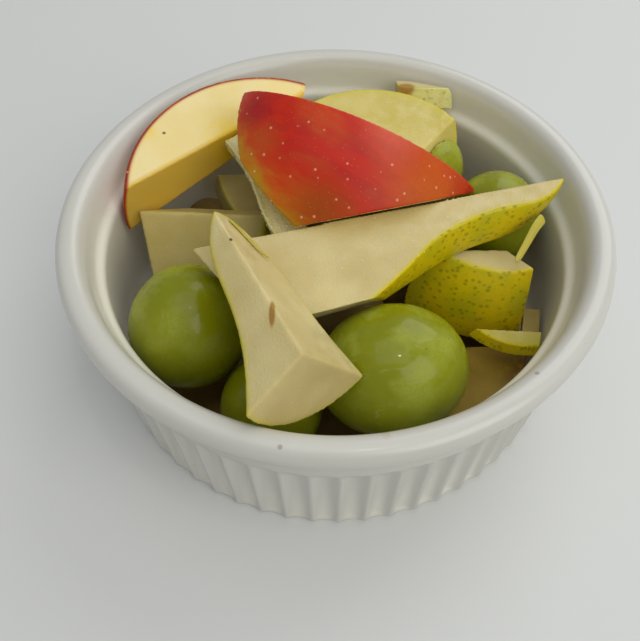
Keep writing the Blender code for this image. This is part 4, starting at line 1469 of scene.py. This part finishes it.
@dataclass
class HiddenHeap:
    """The fruit at the bottom of the bowl, of which only glimpses show, painted dark as shade."""

    lumps: tuple[tuple[float, float, float, float], ...] = (
        (3.0, -8.0, 11.0, 10.0), (-14.0, 3.0, 8.0, 9.0), (1.0, 11.0, 5.0, 9.0), (20.0, 4.0, 8.5, 9.5),
        (-33.0, 24.0, 8.0, 9.5), (12.0, 39.0, 6.0, 7.0), (30.0, 27.0, 7.0, 9.0), (-10.0, 36.0, 6.0, 9.0),
        (-37.0, 6.0, 6.0, 9.0), (18.0, -10.0, 5.0, 8.0), (2.0, -21.0, 6.0, 7.0), (36.0, -5.0, 4.0, 8.0))
    radius: float = 45.5
    low: float = 5.0
    bed: float = 5.6
    squash: float = 0.92
    foot_share: float = 0.955
    edge: float = 0.8
    flesh_depth: float = 4.0
    browned_and_shaded: float = 0.8
    around: int = 220
    steps: int = 60

    def height(self, x: float, y: float) -> float:
        """Height of the heap at a place."""
        top = self.bed
        for cx, cy, cz, r in self.lumps:
            d2 = (x - cx) ** 2 + (y - cy) ** 2
            if d2 < r * r:
                top = max(top, cz + math.sqrt(r * r - d2) * self.squash)
        return top

    def build(self, finish: bpy.types.Material) -> bpy.types.Object:
        """Makes the heap.

        Args:
            finish: its material.
        Returns:
            The heap.
        """
        bm = bmesh.new()
        middle = bm.verts.new((0.0, 0.0, self.height(0.0, 0.0)))
        loops = []
        for k in range(1, self.steps + 1):
            r = self.radius * k / self.steps
            loop = []
            for i in range(self.around):
                a = 2.0 * math.pi * i / self.around
                x, y = r * math.cos(a), r * math.sin(a)
                z = self.height(x, y) if k < self.steps else self.low + self.edge
                loop.append(bm.verts.new((x, y, z)))
            loops.append(loop)
        inward = self.foot_share
        foot = [bm.verts.new((v.co.x * inward, v.co.y * inward, self.low)) for v in loops[-1]]
        hub = bm.verts.new((0.0, 0.0, self.low))
        for i in range(self.around):
            j = (i + 1) % self.around
            bm.faces.new((middle, loops[0][i], loops[0][j]))
            for inner, outer in zip(loops, loops[1:]):
                bm.faces.new((inner[i], outer[i], outer[j], inner[j]))
            bm.faces.new((loops[-1][i], foot[i], foot[j], loops[-1][j]))
            bm.faces.new((foot[i], hub, foot[j]))
        ob = shaped(bm, "hidden_heap")
        co = np.array([v.co for v in ob.data.vertices]) * 1000.0
        remember(ob.data, co, np.full(len(co), self.flesh_depth), np.full(len(co), self.browned_and_shaded))
        return settle(ob, finish, ["fruit_bed"])


# Room


@dataclass(frozen=True)
class Lamp:
    """One soft square lamp: place and side in metres, power in watts, and tint."""

    name: str
    at: Triple
    side: float
    power: float
    tint: Triple


@dataclass
class Studio:
    """Camera at the photograph's viewpoint, soft light and a pale floor."""

    eye: Triple = (-3.2156, -106.0736, 145.7140)
    right: Triple = (0.99998875, -0.0038316, -0.00279614)
    up: Triple = (0.00474337, 0.807771, 0.58947733)
    focal: float = 700.0
    frame_width: float = 640.0
    lamps: tuple[Lamp, ...] = (
        Lamp("window", (0.45, 0.62, 0.72), 0.75, 3.0, (0.98, 0.99, 1.0)),
        Lamp("ceiling", (-0.05, 0.00, 1.10), 0.9, 2.1, (1.0, 1.0, 1.0)),
        Lamp("room", (0.60, -0.56, 0.74), 0.8, 4.4, (1.0, 0.965, 0.91)),
        Lamp("spark", (0.06, -0.10, 0.52), 0.02, 0.06, (1.0, 0.98, 0.94)))
    aim: Triple = (0.0, 0.0, 0.03)
    air: Triple = (0.97, 0.98, 1.0)
    air_strength: float = 0.34
    floor_half: float = 3.0

    def camera(self) -> None:
        """Makes the camera."""
        data = bpy.data.cameras.new("camera")
        data.sensor_fit = "HORIZONTAL"
        data.sensor_width = 36.0
        data.lens = self.focal * data.sensor_width / self.frame_width
        data.clip_start, data.clip_end = 0.01, 20.0
        cam = bpy.data.objects.new("camera", data)
        bpy.context.scene.collection.objects.link(cam)
        x, y = Vector(self.right).normalized(), Vector(self.up)
        y = (y - x * y.dot(x)).normalized()
        rot = Matrix((x, y, x.cross(y))).transposed().to_4x4()
        cam.matrix_world = Matrix.Translation(Vector(self.eye) * MM) @ rot
        bpy.context.scene.camera = cam

    def hang(self, lamp: Lamp) -> None:
        """Makes one lamp, pointed at the bowl."""
        data = bpy.data.lights.new(lamp.name, "AREA")
        data.energy, data.size, data.color = lamp.power, lamp.side, lamp.tint
        ob = bpy.data.objects.new(lamp.name, data)
        bpy.context.scene.collection.objects.link(ob)
        ob.location = lamp.at
        ob.rotation_mode = "QUATERNION"
        ob.rotation_quaternion = (Vector(self.aim) - Vector(lamp.at)).to_track_quat("-Z", "Y")

    def build(self) -> None:
        """Makes camera, lamps, world and floor."""
        self.camera()
        for lamp in self.lamps:
            self.hang(lamp)
        world = bpy.data.worlds.new("room")
        world.use_nodes = True
        back = world.node_tree.nodes["Background"]
        back.inputs["Color"].default_value = (*self.air, 1.0)
        back.inputs["Strength"].default_value = self.air_strength
        bpy.context.scene.world = world
        bpy.context.scene.view_settings.view_transform = "Standard"
        bpy.context.scene.view_settings.look = "None"
        mesh = bpy.data.meshes.new("floor")
        h = self.floor_half
        mesh.from_pydata([(-h, -h, 0.0), (h, -h, 0.0), (h, h, 0.0), (-h, h, 0.0)], [], [(0, 1, 2, 3)])
        mesh.materials.append(TableFinish().make())
        link(mesh, "floor")


# Finishes of this bowl's own pieces

FRONT_PEAR = PearFinish(
    "pear_front_finish",
    spots=(((-11.27, -35.76, 51.57), 2.9, (4.2, 0.9, 0.9)),),
    specks=(((-19.27, -19.35, 52.04), 0.5),))
SHADED_PEAR = PearFinish(
    "pear_shaded_finish", flesh=(0.50, 0.395, 0.12), flesh_pale=(0.56, 0.465, 0.17))
YELLOW_PEAR = PearFinish(
    "pear_yellow_finish", flesh=(0.61, 0.51, 0.125), flesh_pale=(0.68, 0.58, 0.20), margin_depth=3.2)
CALYX_PEAR = PearFinish(
    "pear_calyx_finish", peel=(0.80, 0.76, 0.30), peel_green=(0.66, 0.68, 0.22),
    dot=(0.34, 0.34, 0.08), spots=(((18.36, 42.75, 39.7), 2.2, (0.8, 0.8, 0.8)),))
# painted light: flesh and peel painted bright cream, lighter than the shade under the red wedge allows
LIT_WET_PEAR = PearFinish(
    "pear_wet_lit_finish", peel=(0.90, 0.82, 0.44), peel_green=(0.86, 0.76, 0.34),
    flesh=(0.82, 0.72, 0.36), flesh_pale=(0.88, 0.80, 0.46), wet=1.0, grain=0.5, dotting=0.03)
# painted shade: near-black brown flesh for the glimpses of fruit deep in the bowl
SHADED_HEAP_PEAR = PearFinish(
    "pear_heap_shaded_finish", flesh=(0.20, 0.13, 0.03), flesh_pale=(0.26, 0.18, 0.05),
    stain_and_shade=(0.16, 0.09, 0.02))
SLIVER_PEAR = PearFinish(
    "pear_sliver_finish", flesh=(0.56, 0.48, 0.10), flesh_pale=(0.66, 0.57, 0.16), margin_depth=2.6)
# painted shade: darker peel and flesh for the slice in the gap below the left apple
SHADED_GAP_PEAR = PearFinish(
    "pear_gap_shaded_finish", peel=(0.40, 0.31, 0.09), peel_green=(0.36, 0.29, 0.08),
    flesh=(0.44, 0.34, 0.11), flesh_pale=(0.50, 0.40, 0.15), dotting=0.05)
# painted shade: dark brownish flesh for the offcut between the block and the wall
SHADED_OFFCUT_PEAR = PearFinish(
    "pear_bit_shaded_finish", flesh=(0.44, 0.33, 0.10), flesh_pale=(0.50, 0.39, 0.14))
STRAND_PEEL = PearFinish(
    "peel_strand_finish", peel=(0.50, 0.42, 0.02), peel_green=(0.42, 0.38, 0.02),
    margin=(0.50, 0.44, 0.05), flesh=(0.46, 0.40, 0.04), flesh_pale=(0.54, 0.47, 0.07))
LEFT_APPLE = AppleFinish(
    "apple_left_finish", red=(0.36, 0.022, 0.016), red_deep=(0.28, 0.016, 0.012),
    # painted shade: stain and brown are the saturated ochre of the shaded front face
    margin=(0.72, 0.40, 0.14), stain_and_shade=(0.78, 0.49, 0.028), brown=(0.98, 0.66, 0.004),
    peel_depth=0.45, skin_fade=2.2,
    # the large bruise is partly painted shade on the lower face in shadow
    bruises_and_shade=(((-42.5, 23.0, 42.0), 2.8, 0.7), ((-22.0, 24.0, 38.0), 11.0, 0.95)),
    specks=(((-38.66, 22.96, 41.86), 0.5),))
RED_APPLE = AppleFinish(
    "apple_red_finish", yellow_edge=(RED_LOW_FACE.point, RED_LOW_FACE.normal, 10.0),
    blush_sheen_and_shade=(((20.0, 1.0, 44.0), 17.0, (0.60, 0.13, 0.012), 0.80),
           ((-15.0, 9.0, 51.0), 7.0, (0.52, 0.09, 0.012), 0.6),
           # painted sheen: the pink patch high on the upper right
           ((12.0, 8.0, 54.0), 10.0, (0.72, 0.15, 0.09), 0.70),
           ((-17.0, 17.0, 52.5), 7.0, (0.34, 0.010, 0.014), 0.7),
           # painted shade: dark brown-red low on the wedge, next to the long pear
           ((-3.0, -4.0, 43.5), 11.0, (0.34, 0.070, 0.003), 0.85)))
# painted shade: the chunk deep by the wall has dark flesh, darker still towards the wall through the
# bruise
SHADED_CHUNK_APPLE = AppleFinish(
    "apple_chunk_shaded_finish", red=(0.30, 0.13, 0.02), red_deep=(0.22, 0.09, 0.015),
    flesh=(0.33, 0.215, 0.03), flesh_pale=(0.39, 0.28, 0.05), stain_and_shade=(0.31, 0.19, 0.012),
    brown=(0.10, 0.04, 0.004), bruises_and_shade=(((42.5, -26.0, 14.0), 10.0, 0.9),))


def lay_pears() -> None:
    """Builds the pear pieces and the juice on them."""
    juice = DewGlintFinish().make()
    HiddenHeap().build(SHADED_HEAP_PEAR.make())
    wedges = PearWedges()
    long_pear = wedges.build_long(PearFinish().make())
    JuiceBeads("long_pear_beads", 26000.0, 0.05, 0.15, 38.0, 11).build(long_pear, juice)
    front_pear = wedges.build_front(FRONT_PEAR.make())
    JuiceBeads("front_pear_beads", 14000.0, 0.05, 0.13, 36.0, 12).build(front_pear, juice)
    slices = PearSlices()
    slices.build_top(YELLOW_PEAR.make())
    slices.build_calyx(CALYX_PEAR.make())
    slices.build_block(PearFinish("pear_skin_finish").make())
    slices.build_sliver(SLIVER_PEAR.make())
    slices.build_midleft(SHADED_PEAR.make())
    slices.build_behind(SHADED_GAP_PEAR.make())
    JuiceBeads().build(slices.build_strip(LIT_WET_PEAR.make()), juice)
    slices.build_bit(SHADED_OFFCUT_PEAR.make())


def lay_peel() -> None:
    """Builds the hanging strand and the thin curl on the front pear."""
    strand = STRAND_PEEL.make()
    PeelStrip().build(strand)
    PeelStrip("peel_curl", (), width=1.0, thick=0.5, facing=(0.5, 0.3, 0.8), points=(
        (-20.6, -11.6, 49.4), (-19.0, -12.5, 48.3), (-17.6, -13.9, 47.2), (-16.2, -15.0, 46.4),
        (-14.9, -16.2, 45.6), (-13.6, -16.9, 44.8), (-12.7, -17.4, 44.4))).build(strand)


def main() -> None:
    """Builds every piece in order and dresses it."""
    logging.basicConfig(level=logging.INFO, format="%(name)s: %(message)s")
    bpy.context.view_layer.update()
    Ramekin().build(GlazeFinish())
    lay_pears()
    apples = ApplePieces()
    apples.build_left(LEFT_APPLE.make())
    apples.build_red(RED_APPLE.make())
    apples.build_chunk(SHADED_CHUNK_APPLE.make())
    Grapes().build(GrapeFinish().make())
    lay_peel()
    Studio().build()


if __name__ == "__main__":
    main()
